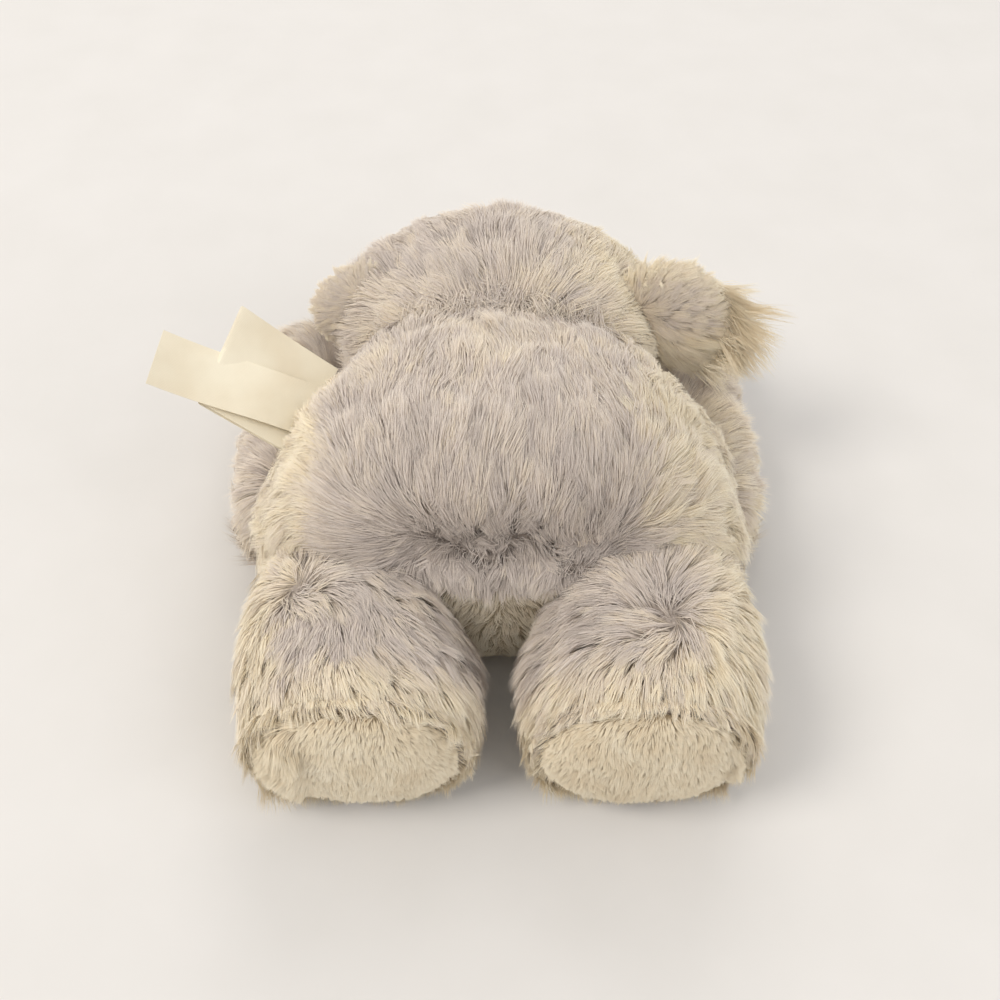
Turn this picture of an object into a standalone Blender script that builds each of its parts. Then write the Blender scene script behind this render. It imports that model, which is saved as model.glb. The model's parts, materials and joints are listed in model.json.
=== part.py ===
"""A small stuffed koala that lies on its belly, as its separate sewn, stuffed and hard pieces.

Metres, with +Z up, +Y towards the nose and +X to the koala's right. The origin is on the floor
under the flat of the belly. Each plush cover is a thin closed shell with its stuffing inside it.
A limb, an ear, the head or a label turns on a round root that sits in a groove of what carries it,
and keeps a free margin round that root, so that it can turn without touching.
"""

import math

import bmesh
import bpy
from mathutils import Matrix, Vector
from mathutils.bvhtree import BVHTree

# Cloth, and the play between pieces
CLOTH = 0.0016
GAP = 0.0003
OVERRUN = 0.012
CUTTER_SIZE = 0.5

# How finely the round shapes are drawn, as counts
BODY_SIDES = 24
BODY_SLICES = 11
LIMB_SIDES = 18
LIMB_SLICES = 9
SMALL_SIDES = 12
SMALL_SLICES = 6

# Torso: a dome with a flat belly, widest low down. Shares: height, width, front, rear
TORSO_HALF_WIDTH = 0.070
TORSO_HEIGHT = 0.086
TORSO_FRONT = 0.050
TORSO_REAR = 0.033
TORSO_WIDEST_Y = -0.003
TORSO_CREST_Y = 0.008
TORSO_SQUARENESS = 2.5
TORSO_SLICE_SHARES = (
    (0.00, 0.64, 0.60, 0.62),
    (0.04, 0.80, 0.78, 0.78),
    (0.13, 0.94, 0.92, 0.92),
    (0.28, 1.00, 1.00, 0.99),
    (0.45, 0.97, 1.00, 1.00),
    (0.60, 0.89, 1.00, 0.98),
    (0.73, 0.79, 0.97, 0.90),
    (0.84, 0.66, 0.88, 0.75),
    (0.93, 0.46, 0.66, 0.52),
    (0.98, 0.24, 0.36, 0.28),
    (1.00, 0.00, 0.00, 0.00),
)
SEAM_REAR_HEIGHT = 0.041
SEAM_TILT = math.radians(18)
SEAM_THREAD_RADIUS = 0.0003

# Bag of pellets, in a hollow under the torso's stuffing
PELLET_BAG_HALF_SIZE = (0.034, 0.0145, 0.010)
PELLET_BAG_SQUARENESS = 2.6
PELLET_MOUTH_SHARE = 0.5

# Head, in its own frame: origin at its centre, nose along its +Y. Shares: height, width, length
HEAD_CENTRE = (0.0010, 0.074, 0.0430)
HEAD_YAW = math.radians(-3)
HEAD_ROLL = math.radians(1)
HEAD_HALF_WIDTH = 0.050
HEAD_HALF_LENGTH = 0.037
HEAD_HALF_HEIGHT = 0.0385
HEAD_SQUARENESS = 2.3
HEAD_SLICE_SHARES = (
    (0.00, 0.30, 0.32),
    (0.03, 0.48, 0.50),
    (0.11, 0.72, 0.74),
    (0.25, 0.92, 0.93),
    (0.44, 1.00, 1.00),
    (0.62, 0.98, 0.99),
    (0.78, 0.85, 0.88),
    (0.90, 0.62, 0.66),
    (0.97, 0.34, 0.37),
    (1.00, 0.00, 0.00),
)

# Neck: a ball of stuffing between the two cups that it turns in
NECK_PIVOT = (0.0, 0.049, 0.0430)
NECK_BALL_RADIUS = 0.021
NECK_PLAY = 0.0008
NECK_MARGIN = 0.0095

# Muzzle, nose, eyes and mouth, in the head's frame. Nose and eyes have a stem with a washer
MUZZLE_CENTRE = (0.0, 0.028, -0.012)
MUZZLE_HALF_SIZE = (0.020, 0.017, 0.015)
NOSE_HALF_SIZE = (0.0080, 0.0048, 0.0110)
NOSE_HEIGHT = -0.0050
EYE_RADIUS = 0.0050
EYE_DOME = 0.0036
EYE_SPREAD = math.radians(32)
EYE_RAISE = math.radians(10)
STEM_RADIUS = 0.0014
STEM_PAST_WASHER = 0.0012
WASHER_RADIUS = 0.0050
WASHER_THICKNESS = 0.0010
WASHER_SET_BACK = 0.0015
MOUTH_HALF_WIDTH = 0.0070
MOUTH_HEIGHT = -0.0185
MOUTH_RISE = 0.0020
MOUTH_THREAD_RADIUS = 0.0005
MOUTH_POINTS = 9
THREAD_SIDES = 2

# Ears: a back and a lining, on a root along the head's side
LEFT_EAR_OFFSET = (0.0490, -0.006, 0.0215)
RIGHT_EAR_OFFSET = (0.0535, -0.008, 0.0240)
EAR_FACING = (0.30, 0.92, -0.10)
EAR_RADIUS = 0.0155
EAR_HALF_THICKNESS = 0.0036
EAR_ROOT_RADIUS = 0.0034
EAR_ROOT_LENGTH = 0.020
EAR_MARGIN = 0.0022

# Arms, lying forward beside the flanks. Shares: length, thickness
LEFT_ARM_X = 0.0665
RIGHT_ARM_X = 0.0640
ARM_HAND_OUT = 0.0020
ARM_REAR = 0.0055
ARM_FRONT = 0.098
ARM_RADIUS = 0.0162
ARM_CLEAR_OF_FLOOR = 0.0004
ARM_SLICE_SHARES = (
    (0.00, 0.00),
    (0.03, 0.52),
    (0.09, 0.84),
    (0.18, 1.00),
    (0.36, 0.98),
    (0.58, 0.89),
    (0.78, 0.92),
    (0.90, 0.78),
    (0.97, 0.46),
    (1.00, 0.00),
)
SHOULDER_ROOT_RADIUS = 0.0085
SHOULDER_ROOT_INNER_X = 0.052
SHOULDER_MARGIN = 0.0020
SHOULDER_DISH_STEPS = 5

# Legs, stretched out behind, each closed by a flat sole. Shares: length, width, height, lift
LEG_HIP_X = 0.046
LEG_SOLE_X = 0.0375
LEG_FRONT = -0.016
LEG_SOLE_Y = -0.072
LEG_HALF_WIDTH = 0.0305
LEG_HALF_HEIGHT = 0.0258
LEG_LIFT = 0.0060
LEG_BEND = 1.6
LEG_SQUARENESS = 2.2
LEG_CLEAR_OF_FLOOR = 0.0004
LEG_SLICE_SHARES = (
    (0.00, 0.00, 0.00, 0.80),
    (0.09, 0.60, 0.76, 0.75),
    (0.27, 0.84, 0.98, 0.40),
    (0.50, 0.98, 1.00, 0.05),
    (0.75, 1.00, 0.97, 0.00),
    (0.93, 0.95, 0.94, 0.02),
    (1.00, 0.88, 0.88, 0.06),
)
HIP_Y = -0.0330
HIP_Z = 0.0150
HIP_ROOT_RADIUS = 0.0135
HIP_ROOT_X = (0.0190, 0.0600)
HIP_MARGIN = 0.0046

# The slit of a cover that was closed by hand: along, across
CLOSING_SLIT = (0.012, 0.0008)

# Labels in the left flank's seam: a folded loop, and a narrow strip over it. Sizes: width, length
LABEL_Y = 0.0220
LABEL_STAND_OFF = 0.0014
LABEL_TURN = math.radians(9)
LABEL_RISE = math.radians(30)
LABEL_SLANT = math.radians(4)
CARE_LABEL_SIZE = (0.031, 0.0325)
STRIP_SIZE = (0.0165, 0.0470)
STRIP_SHIFT = -0.0010
STRIP_SLANT = math.radians(13)
SATIN = 0.00025
LABEL_FOLD_RADIUS = 0.0004
LABEL_ROOT_RADIUS = 0.0013
FOLD_STEPS = 4

# Colour, roughness
GREY_PLUSH = ((0.44, 0.41, 0.44), 0.95)
CREAM_PLUSH = ((0.78, 0.72, 0.60), 0.95)
SHORT_PILE = ((0.74, 0.67, 0.54), 0.95)
FIBRE = ((0.86, 0.86, 0.84), 0.9)
PELLET_CLOTH = ((0.80, 0.80, 0.78), 0.9)
BLACK_PLASTIC = ((0.015, 0.013, 0.012), 0.2)
WASHER_PLASTIC = ((0.70, 0.70, 0.68), 0.5)
THREAD = ((0.36, 0.34, 0.36), 0.8)
MOUTH_THREAD = ((0.05, 0.045, 0.045), 0.7)
SATIN_WHITE = ((0.86, 0.82, 0.74), 0.45)
LOOKS = {
    "grey_plush": GREY_PLUSH,
    "cream_plush": CREAM_PLUSH,
    "short_pile": SHORT_PILE,
    "fibre": FIBRE,
    "pellet_cloth": PELLET_CLOTH,
    "black_plastic": BLACK_PLASTIC,
    "washer_plastic": WASHER_PLASTIC,
    "thread": THREAD,
    "mouth_thread": MOUTH_THREAD,
    "satin": SATIN_WHITE,
}
SIDES = {"left": -1, "right": 1}


def clear_scene():
    for obj in list(bpy.data.objects):
        bpy.data.objects.remove(obj, do_unlink=True)


def material(name, look):
    colour, roughness = look
    made = bpy.data.materials.new(name)
    made.use_nodes = True
    shader = made.node_tree.nodes["Principled BSDF"]
    shader.inputs["Base Color"].default_value = (*colour, 1.0)
    shader.inputs["Roughness"].default_value = roughness
    shader.inputs["Metallic"].default_value = 0.0
    made.diffuse_color = (*colour, 1.0)
    return made


def smooth_rows(rows, count):
    """Rows read at even steps from a smooth curve through the given rows of shares."""
    made = []
    last = len(rows) - 1
    for step in range(count + 1):
        along = step / count * last
        start = min(int(along), last - 1)
        t = along - start
        around = [rows[min(max(start + k, 0), last)] for k in (-1, 0, 1, 2)]
        made.append(tuple(between(values, t) for values in zip(*around)))
    return made


def between(values, t):
    """The curve through the middle two of four values, at a share t of the way."""
    a, b, c, d = values
    line = 2 * b + (c - a) * t
    return (line + (2 * a - 5 * b + 4 * c - d) * t**2 + (3 * b - a - 3 * c + d) * t**3) / 2


def ring(sides, squareness=2.0):
    """Directions round one slice: a circle at squareness 2, squarer above it."""
    made = []
    for k in range(sides):
        turn = 2 * math.pi * k / sides
        shares = (math.cos(turn), math.sin(turn))
        made.append([math.copysign(abs(s) ** (2 / squareness), s) for s in shares])
    return made


def lofted(slices):
    """A closed mesh through slices of points. A slice of one point is a tip."""
    mesh = bmesh.new()
    loops = [[mesh.verts.new(point) for point in points] for points in slices]
    for low, high in zip(loops, loops[1:]):
        sides = max(len(low), len(high))
        for k in range(sides):
            after = (k + 1) % sides
            corners = [low[k % len(low)], low[after % len(low)]]
            corners += [high[after % len(high)], high[k % len(high)]]
            mesh.faces.new(dict.fromkeys(corners))
    for end in (loops[0], loops[-1]):
        if len(end) > 1:
            mesh.faces.new(end)
    bmesh.ops.recalc_face_normals(mesh, faces=mesh.faces)
    return mesh


def node(name, mesh, look=None, parent=None, place=None):
    """An object made from a bmesh. Without a look it is a cutter, which the model leaves out."""
    data = bpy.data.meshes.new(name)
    mesh.to_mesh(data)
    mesh.free()
    data.shade_smooth()
    data.set_sharp_from_angle(angle=math.radians(40))
    made = bpy.data.objects.new(name, data)
    bpy.context.scene.collection.objects.link(made)
    if parent:
        made.parent = parent
    if place:
        made.matrix_local = place
    if look:
        data.materials.append(look)
    else:
        made.hide_render = True
        made.display_type = "WIRE"
    return made


def empty(name, place, parent=None):
    made = bpy.data.objects.new(name, None)
    bpy.context.scene.collection.objects.link(made)
    made.empty_display_size = NECK_BALL_RADIUS
    if parent:
        made.parent = parent
    made.matrix_local = place
    return made


def boolean(target, operation, *others):
    for other in others:
        modifier = target.modifiers.new(f"{operation.lower()} {other.name}", "BOOLEAN")
        modifier.operation = operation
        modifier.solver = "EXACT"
        modifier.object = other


def moved(mesh, offset):
    bmesh.ops.translate(mesh, verts=mesh.verts, vec=offset)
    return mesh


def ball(half_size, sides, slices, squareness=2.0):
    """An ellipsoid, or a squarer pad, round the origin."""
    around = ring(sides, squareness)
    made = []
    for k in range(slices + 1):
        turn = math.pi * (k / slices - 0.5)
        across = math.cos(turn)
        height = half_size[2] * math.sin(turn)
        if k in (0, slices):
            made.append([Vector((0, 0, height))])
            continue
        wide, deep = half_size[0] * across, half_size[1] * across
        made.append([Vector((wide * x, deep * y, height)) for x, y in around])
    return lofted(made)


def rod(radius, start, end, sides=SMALL_SIDES):
    """A round bar between two points."""
    start, end = Vector(start), Vector(end)
    turned = (end - start).to_track_quat("Z", "Y").to_matrix()
    around = [turned @ Vector((radius * x, radius * y, 0)) for x, y in ring(sides)]
    return lofted([[point + spoke for spoke in around] for point in (start, end)])


def box(low, high):
    corners = [(low[0], low[1]), (high[0], low[1]), (high[0], high[1]), (low[0], high[1])]
    return lofted([[Vector((x, y, z)) for x, y in corners] for z in (low[2], high[2])])


def half_space(name, point, normal, parent=None):
    """A large block that fills the side of a plane that its normal points to."""
    half = CUTTER_SIZE / 2
    turned = normal.to_track_quat("Z", "Y").to_matrix().to_4x4()
    place = Matrix.Translation(point) @ turned
    return node(name, box((-half, -half, 0), (half, half, CUTTER_SIZE)), None, parent, place)


def torso_slices(grow):
    """Level slices of the torso, each moved out by grow."""
    made = []
    around = ring(BODY_SIDES, TORSO_SQUARENESS)
    for height, width, front, rear in smooth_rows(TORSO_SLICE_SHARES, BODY_SLICES):
        z = height * (TORSO_HEIGHT + 2 * grow) - grow
        if width <= 0:
            made.append([Vector((0, TORSO_CREST_Y, z))])
            continue
        half_width = TORSO_HALF_WIDTH * width + grow
        ahead = (TORSO_FRONT - TORSO_WIDEST_Y) * front + grow
        behind = (TORSO_REAR + TORSO_WIDEST_Y) * rear + grow
        points = []
        for x, y in around:
            reach = ahead if y > 0 else behind
            points.append(Vector((half_width * x, TORSO_WIDEST_Y + reach * y, z)))
        made.append(points)
    return made


def head_slices(grow):
    """Level slices of the head in its own frame, each moved out by grow."""
    made = []
    around = ring(BODY_SIDES, HEAD_SQUARENESS)
    for height, width, length in smooth_rows(HEAD_SLICE_SHARES, BODY_SLICES):
        z = (2 * height - 1) * (HEAD_HALF_HEIGHT + grow)
        if width <= 0:
            made.append([Vector((0, 0, z))])
            continue
        half_width = HEAD_HALF_WIDTH * width + grow
        half_length = HEAD_HALF_LENGTH * length + grow
        made.append([Vector((half_width * x, half_length * y, z)) for x, y in around])
    return made


def arm_slices(side, grow):
    """Upright slices of an arm from its shoulder end to its hand, each moved out by grow."""
    made = []
    around = ring(LIMB_SIDES)
    for along, thick in smooth_rows(ARM_SLICE_SHARES, LIMB_SLICES):
        y = ARM_REAR - grow + along * (ARM_FRONT - ARM_REAR + 2 * grow)
        x = side * (arm_x(side) + ARM_HAND_OUT * along)
        if thick <= 0:
            made.append([Vector((x, y, shoulder_z()))])
            continue
        radius = ARM_RADIUS * thick + grow
        made.append([Vector((x + radius * a, y, shoulder_z() + radius * b)) for a, b in around])
    return made


def leg_slices(side, grow, past_sole=0):
    """Upright slices of a leg from inside the torso to its sole, each moved out by grow."""
    made = []
    around = ring(LIMB_SIDES, LEG_SQUARENESS)
    length = LEG_FRONT - LEG_SOLE_Y
    for along, wide, tall, lift in smooth_rows(LEG_SLICE_SHARES, LIMB_SLICES):
        y = LEG_FRONT + grow - along * (length + grow)
        x = side * (LEG_SOLE_X + (LEG_HIP_X - LEG_SOLE_X) * (1 - along) ** LEG_BEND)
        z = LEG_CLEAR_OF_FLOOR + LEG_HALF_HEIGHT + LEG_LIFT * lift
        if wide <= 0:
            made.append([Vector((x, y, z))])
            continue
        half_width = LEG_HALF_WIDTH * wide + grow
        half_height = LEG_HALF_HEIGHT * tall + grow
        made.append([Vector((x + half_width * a, y, z + half_height * b)) for a, b in around])
    if past_sole:
        made.append([point + Vector((0, -past_sole, 0)) for point in made[-1]])
    return made


def arm_x(side):
    return RIGHT_ARM_X if side > 0 else LEFT_ARM_X


def shoulder_y():
    return ARM_REAR + ARM_RADIUS


def shoulder_z():
    return ARM_CLEAR_OF_FLOOR + ARM_RADIUS


def shoulder_root(side, grow):
    start = (side * (SHOULDER_ROOT_INNER_X - grow), shoulder_y(), shoulder_z())
    end = (side * (arm_x(side) + ARM_RADIUS / 2), shoulder_y(), shoulder_z())
    return rod(SHOULDER_ROOT_RADIUS + grow, start, end, LIMB_SIDES)


def hip_root(side, grow):
    start = (side * (HIP_ROOT_X[0] - grow), HIP_Y, HIP_Z)
    end = (side * (HIP_ROOT_X[1] + grow), HIP_Y, HIP_Z)
    return rod(HIP_ROOT_RADIUS + grow, start, end, LIMB_SIDES)


def torso_half_width_at(y):
    """The torso's greatest half width, at any height, at a place along it."""
    behind = TORSO_WIDEST_Y - y
    length = TORSO_REAR + TORSO_WIDEST_Y if behind > 0 else TORSO_FRONT - TORSO_WIDEST_Y
    share = min(abs(behind) / length, 1)
    return TORSO_HALF_WIDTH * (1 - share**TORSO_SQUARENESS) ** (1 / TORSO_SQUARENESS)


def shoulder_dish(name, side, grow):
    """Turned about the shoulder's axis: what the torso may fill as the arm swings."""
    reach = ARM_RADIUS + CLOTH + grow
    rims = []
    for step in range(SHOULDER_DISH_STEPS, 0, -1):
        radius = reach * step / SHOULDER_DISH_STEPS
        rims.append((radius, torso_half_width_at(shoulder_y() - radius) + grow))
    slices = []
    for radius, x in [(reach, 0), *rims]:
        circle = [(radius * a, radius * b) for a, b in ring(LIMB_SIDES)]
        slices.append([Vector((side * x, shoulder_y() + a, shoulder_z() + b)) for a, b in circle])
    tip = side * (torso_half_width_at(shoulder_y()) + grow)
    slices.append([Vector((tip, shoulder_y(), shoulder_z()))])
    return node(name, lofted(slices))


def seam_plane():
    """A point of the torso's side seam, and the direction across it, upwards."""
    point = Vector((0, -TORSO_REAR, SEAM_REAR_HEIGHT))
    return point, Vector((0, -math.sin(SEAM_TILT), math.cos(SEAM_TILT)))


def neck_cup(name, grow):
    mesh = ball((NECK_BALL_RADIUS + grow,) * 3, BODY_SIDES, BODY_SLICES)
    return node(name, moved(mesh, Vector(NECK_PIVOT)))


def build_torso(looks, label_groove):
    """Back panel, belly panel, the thread of their seam, the stuffing and the bag of pellets."""
    seam_at, across = seam_plane()
    seam_room = 2 * GAP + 2 * SEAM_THREAD_RADIUS
    grooves = [neck_cup("neck cup", NECK_PLAY)]
    for name, side in SIDES.items():
        grooves.append(node(f"shoulder groove {name}", shoulder_root(side, GAP)))
        grooves.append(node(f"hip groove {name}", hip_root(side, GAP)))
    hollow = node("torso hollow", lofted(torso_slices(-CLOTH)))
    halves = (
        ("torso_skin", across, looks["grey_plush"]),
        ("belly_panel", -across, looks["cream_plush"]),
    )
    for name, keeps, look in halves:
        panel = node(name, lofted(torso_slices(0)), look)
        edge = seam_at + keeps * seam_room / 2
        boolean(panel, "DIFFERENCE", hollow)
        boolean(panel, "INTERSECT", half_space(f"{name} side of the seam", edge, keeps))
        boolean(panel, "DIFFERENCE", *grooves, label_groove)

    thread = node("torso_seam_thread", seam_thread(), looks["thread"])
    boolean(thread, "DIFFERENCE", neck_cup("neck cup past the thread", CLOTH), label_groove)

    stuffing = node("torso_stuffing", lofted(torso_slices(-CLOTH - GAP)), looks["fibre"])
    boolean(stuffing, "DIFFERENCE", *grooves, label_groove, *pellet_pocket())
    node("pellet_bag", pellet_bag(0), looks["pellet_cloth"])


def pellet_bag(grow):
    half = [size + grow for size in PELLET_BAG_HALF_SIZE]
    centre = Vector((0, TORSO_WIDEST_Y, CLOTH + GAP + PELLET_BAG_HALF_SIZE[2]))
    return moved(ball(half, LIMB_SIDES, SMALL_SLICES, PELLET_BAG_SQUARENESS), centre)


def pellet_pocket():
    """The room round the bag, and its mouth down to the belly panel."""
    wide, deep, half_height = PELLET_BAG_HALF_SIZE
    wide, deep = wide * PELLET_MOUTH_SHARE, deep * PELLET_MOUTH_SHARE
    low = (-wide, TORSO_WIDEST_Y - deep, 0)
    high = (wide, TORSO_WIDEST_Y + deep, CLOTH + half_height)
    return node("pellet pocket", pellet_bag(GAP)), node("pellet pocket mouth", box(low, high))


def seam_points(grow):
    """Points round the torso, moved out by grow, where the seam's plane meets it."""
    seam_at, across = seam_plane()
    points = []
    slices = torso_slices(grow)
    for k in range(BODY_SIDES):
        meridian = [points_of[k % len(points_of)] for points_of in slices]
        for low, high in zip(meridian, meridian[1:]):
            below = (low - seam_at).dot(across)
            above = (high - seam_at).dot(across)
            if below < 0 <= above:
                points.append(low.lerp(high, below / (below - above)))
                break
    return points


def seam_thread():
    """A thin four-sided tube along the seam, in the middle of the cloth's thickness."""
    points, radius, across = seam_points(-CLOTH / 2), SEAM_THREAD_RADIUS, seam_plane()[1]
    mesh = bmesh.new()
    loops = []
    for k, point in enumerate(points):
        ahead = points[(k + 1) % len(points)] - points[k - 1]
        out = ahead.cross(across).normalized()
        loops.append([mesh.verts.new(point + way * radius) for way in (across, out, -across, -out)])
    for low, high in zip(loops, loops[1:] + loops[:1]):
        for k in range(len(low)):
            mesh.faces.new((low[k], low[k - 1], high[k - 1], high[k]))
    bmesh.ops.recalc_face_normals(mesh, faces=mesh.faces)
    return mesh


def on_surface(slices, direction):
    """Where a ray from a lofted shape's own origin leaves it, and the way that face looks."""
    mesh = lofted(slices)
    place, outward = BVHTree.FromBMesh(mesh).ray_cast(Vector(), Vector(direction))[:2]
    mesh.free()
    return place, outward


def frame_at(origin, out, facing):
    """A frame at origin with its Z along out and its Y as near facing as that leaves."""
    z = Vector(out).normalized()
    x = Vector(facing).cross(z).normalized()
    turned = Matrix((x, z.cross(x), z)).transposed()
    return Matrix.Translation(origin) @ turned.to_4x4()


def build_head(looks):
    """The neck's ball, and the head with all that it carries, each in the head's frame."""
    turn = empty("head_turn", Matrix.Translation(NECK_PIVOT))
    node("neck_plug", ball((NECK_BALL_RADIUS,) * 3, BODY_SIDES, BODY_SLICES), looks["fibre"], turn)
    nod = empty("head_nod", Matrix(), turn)
    turned = Matrix.Rotation(HEAD_YAW, 4, "Z") @ Matrix.Rotation(HEAD_ROLL, 4, "Y")
    place = Matrix.Translation(Vector(HEAD_CENTRE) - Vector(NECK_PIVOT)) @ turned
    head = empty("head_frame", place, nod)

    cup = neck_cup("neck cup of the head", NECK_PLAY)
    skin = node("head_skin", lofted(head_slices(0)), looks["grey_plush"], head)
    hollow = node("head hollow", lofted(head_slices(-CLOTH)), None, head)
    stuffing = node("head_stuffing", lofted(head_slices(-CLOTH - GAP)), looks["fibre"], head)
    for cut, more in ((skin, 0), (hollow, CLOTH), (stuffing, CLOTH + GAP)):
        past = node(f"torso past {cut.name}", lofted(torso_slices(NECK_MARGIN + more)))
        boolean(cut, "DIFFERENCE", past)
    boolean(skin, "DIFFERENCE", hollow, cup)
    boolean(stuffing, "DIFFERENCE", cup)

    build_face(looks, head, skin, stuffing)
    for name, side in SIDES.items():
        build_ear(looks, head, skin, stuffing, name, side)


def build_face(looks, head, skin, stuffing):
    """Muzzle panel, nose, eyes, their washers and the stitched mouth."""
    on_muzzle = node("head under the muzzle", lofted(head_slices(GAP)), None, head)
    muzzle = node("muzzle_panel", muzzle_form(0), looks["cream_plush"], head)
    boolean(muzzle, "DIFFERENCE", on_muzzle)

    behind = on_surface(head_slices(0), (0, HEAD_HALF_LENGTH, NOSE_HEIGHT))[0]
    nose_front = muzzle_surface(0, NOSE_HEIGHT, 0)
    place = frame_at(behind, (0, 1, 0), (0, 0, 1))
    through = nose_front.y - behind.y
    nose_mesh = ball(NOSE_HALF_SIZE, SMALL_SIDES, SMALL_SLICES + 2)
    nose = node("nose", moved(nose_mesh, nose_front), looks["black_plastic"], head)
    room = node("muzzle under the nose", muzzle_form(GAP), None, head)
    boolean(nose, "DIFFERENCE", room, on_muzzle)
    stem, hole, pocket = stem_parts("nose", looks, head, place, through)
    boolean(nose, "UNION", stem)
    boolean(muzzle, "DIFFERENCE", hole)
    boolean(skin, "DIFFERENCE", hole)
    boolean(stuffing, "DIFFERENCE", pocket)

    for name, side in SIDES.items():
        level = math.cos(EYE_RAISE)
        out = (
            side * math.sin(EYE_SPREAD) * level,
            math.cos(EYE_SPREAD) * level,
            math.sin(EYE_RAISE),
        )
        place = frame_at(*on_surface(head_slices(0), out), (0, 0, 1))
        eye = node(f"eye_{name}", eye_dome(), looks["black_plastic"], head, place)
        stem, hole, pocket = stem_parts(f"eye_{name}", looks, head, place, EYE_DOME / 2)
        boolean(eye, "UNION", stem)
        boolean(skin, "DIFFERENCE", hole)
        boolean(stuffing, "DIFFERENCE", pocket)

    mouth(looks, head)


def muzzle_form(grow):
    half = [size + grow for size in MUZZLE_HALF_SIZE]
    return moved(ball(half, LIMB_SIDES, SMALL_SLICES + 2), Vector(MUZZLE_CENTRE))


def muzzle_surface(x, z, grow):
    """The point on the muzzle's front, moved out by grow, at this place across and up."""
    wide, deep, tall = [size + grow for size in MUZZLE_HALF_SIZE]
    across = (x - MUZZLE_CENTRE[0]) / wide
    up = (z - MUZZLE_CENTRE[2]) / tall
    return Vector((x, MUZZLE_CENTRE[1] + deep * math.sqrt(1 - across**2 - up**2), z))


def eye_dome():
    """Half a button, with its flat side just clear of the cover."""
    slices = []
    for k in range(SMALL_SLICES):
        turn = math.pi / 2 * k / SMALL_SLICES
        radius = EYE_RADIUS * math.cos(turn)
        z = GAP + EYE_DOME * math.sin(turn)
        slices.append([Vector((radius * a, radius * b, z)) for a, b in ring(SMALL_SIDES)])
    slices.append([Vector((0, 0, GAP + EYE_DOME))])
    return lofted(slices)


def stem_parts(name, looks, head, place, outward):
    """A stem through the cover with its washer, the hole for it and the pocket in the stuffing.

    The place is a frame on the cover, with its Z outwards. outward is how far out the stem starts.
    """
    washer_top = -CLOTH - WASHER_SET_BACK
    washer_low = washer_top - WASHER_THICKNESS
    stem_end = washer_low - STEM_PAST_WASHER
    stem = node(
        f"stem of {name}", rod(STEM_RADIUS, (0, 0, outward), (0, 0, stem_end)), None, head, place
    )
    hole_radius = STEM_RADIUS + GAP
    hole_mesh = rod(hole_radius, (0, 0, outward + OVERRUN), (0, 0, stem_end - GAP))
    hole = node(f"hole for {name}", hole_mesh, None, head, place)
    washer_mesh = rod(WASHER_RADIUS, (0, 0, washer_top), (0, 0, washer_low))
    washer = node(f"{name}_washer", washer_mesh, looks["washer_plastic"], head, place)
    boolean(washer, "DIFFERENCE", hole)
    pocket_mesh = rod(WASHER_RADIUS + GAP, (0, 0, outward), (0, 0, stem_end - GAP))
    return stem, hole, node(f"pocket for {name}", pocket_mesh, None, head, place)


def mouth(looks, head):
    """A thread across the muzzle below the nose, with its ends turned up."""
    lift = GAP + MOUTH_THREAD_RADIUS
    curve = bpy.data.curves.new("mouth_stitch", "CURVE")
    curve.dimensions = "3D"
    curve.bevel_depth = MOUTH_THREAD_RADIUS
    curve.bevel_resolution = THREAD_SIDES
    curve.use_fill_caps = True
    spline = curve.splines.new("POLY")
    spline.points.add(MOUTH_POINTS - 1)
    for k, point in enumerate(spline.points):
        share = 2 * k / (MOUTH_POINTS - 1) - 1
        z = MOUTH_HEIGHT + MOUTH_RISE * share**2
        point.co = (*muzzle_surface(MOUTH_HALF_WIDTH * share, z, lift), 1)
    curve.materials.append(looks["mouth_thread"])
    made = bpy.data.objects.new("mouth_stitch", curve)
    bpy.context.scene.collection.objects.link(made)
    made.parent = head


def build_ear(looks, head, skin, stuffing, name, side):
    """An ear in its own frame: Z away from the head, Y the way its lining faces."""
    offset = RIGHT_EAR_OFFSET if side > 0 else LEFT_EAR_OFFSET
    out = Vector((side * offset[0], offset[1], offset[2]))
    facing = Vector((side * EAR_FACING[0], EAR_FACING[1], EAR_FACING[2]))
    foot = on_surface(head_slices(0), out)[0]
    fold = empty(f"ear_{name}_fold", frame_at(foot, out, facing), head)
    half = EAR_ROOT_LENGTH / 2
    roots = [
        node(
            f"ear root {name} {grow}",
            rod(EAR_ROOT_RADIUS + grow, (-half - grow, 0, 0), (half + grow, 0, 0), SMALL_SIDES),
            None,
            fold,
        )
        for grow in (0, GAP)
    ]
    clear = node(f"head past the ear {name}", lofted(head_slices(EAR_MARGIN)), None, head)
    centre = Vector((0, 0, (out - foot).length))
    layers = (("back", -1, looks["grey_plush"]), ("lining", 1, looks["cream_plush"]))
    for layer, way, look in layers:
        lens = ball((EAR_RADIUS, EAR_HALF_THICKNESS, EAR_RADIUS), LIMB_SIDES, LIMB_SLICES)
        piece = node(f"ear_{name}_{layer}", moved(lens, centre), look, fold)
        kept = Vector((0, way, 0))
        edge = kept * GAP / 2
        boolean(piece, "INTERSECT", half_space(f"{layer} of ear {name}", edge, kept, fold))
        boolean(piece, "DIFFERENCE", clear)
        if layer == "back":
            boolean(piece, "UNION", roots[0])
        else:
            boolean(piece, "DIFFERENCE", roots[1])
    boolean(skin, "DIFFERENCE", roots[1])
    boolean(stuffing, "DIFFERENCE", roots[1])


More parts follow.
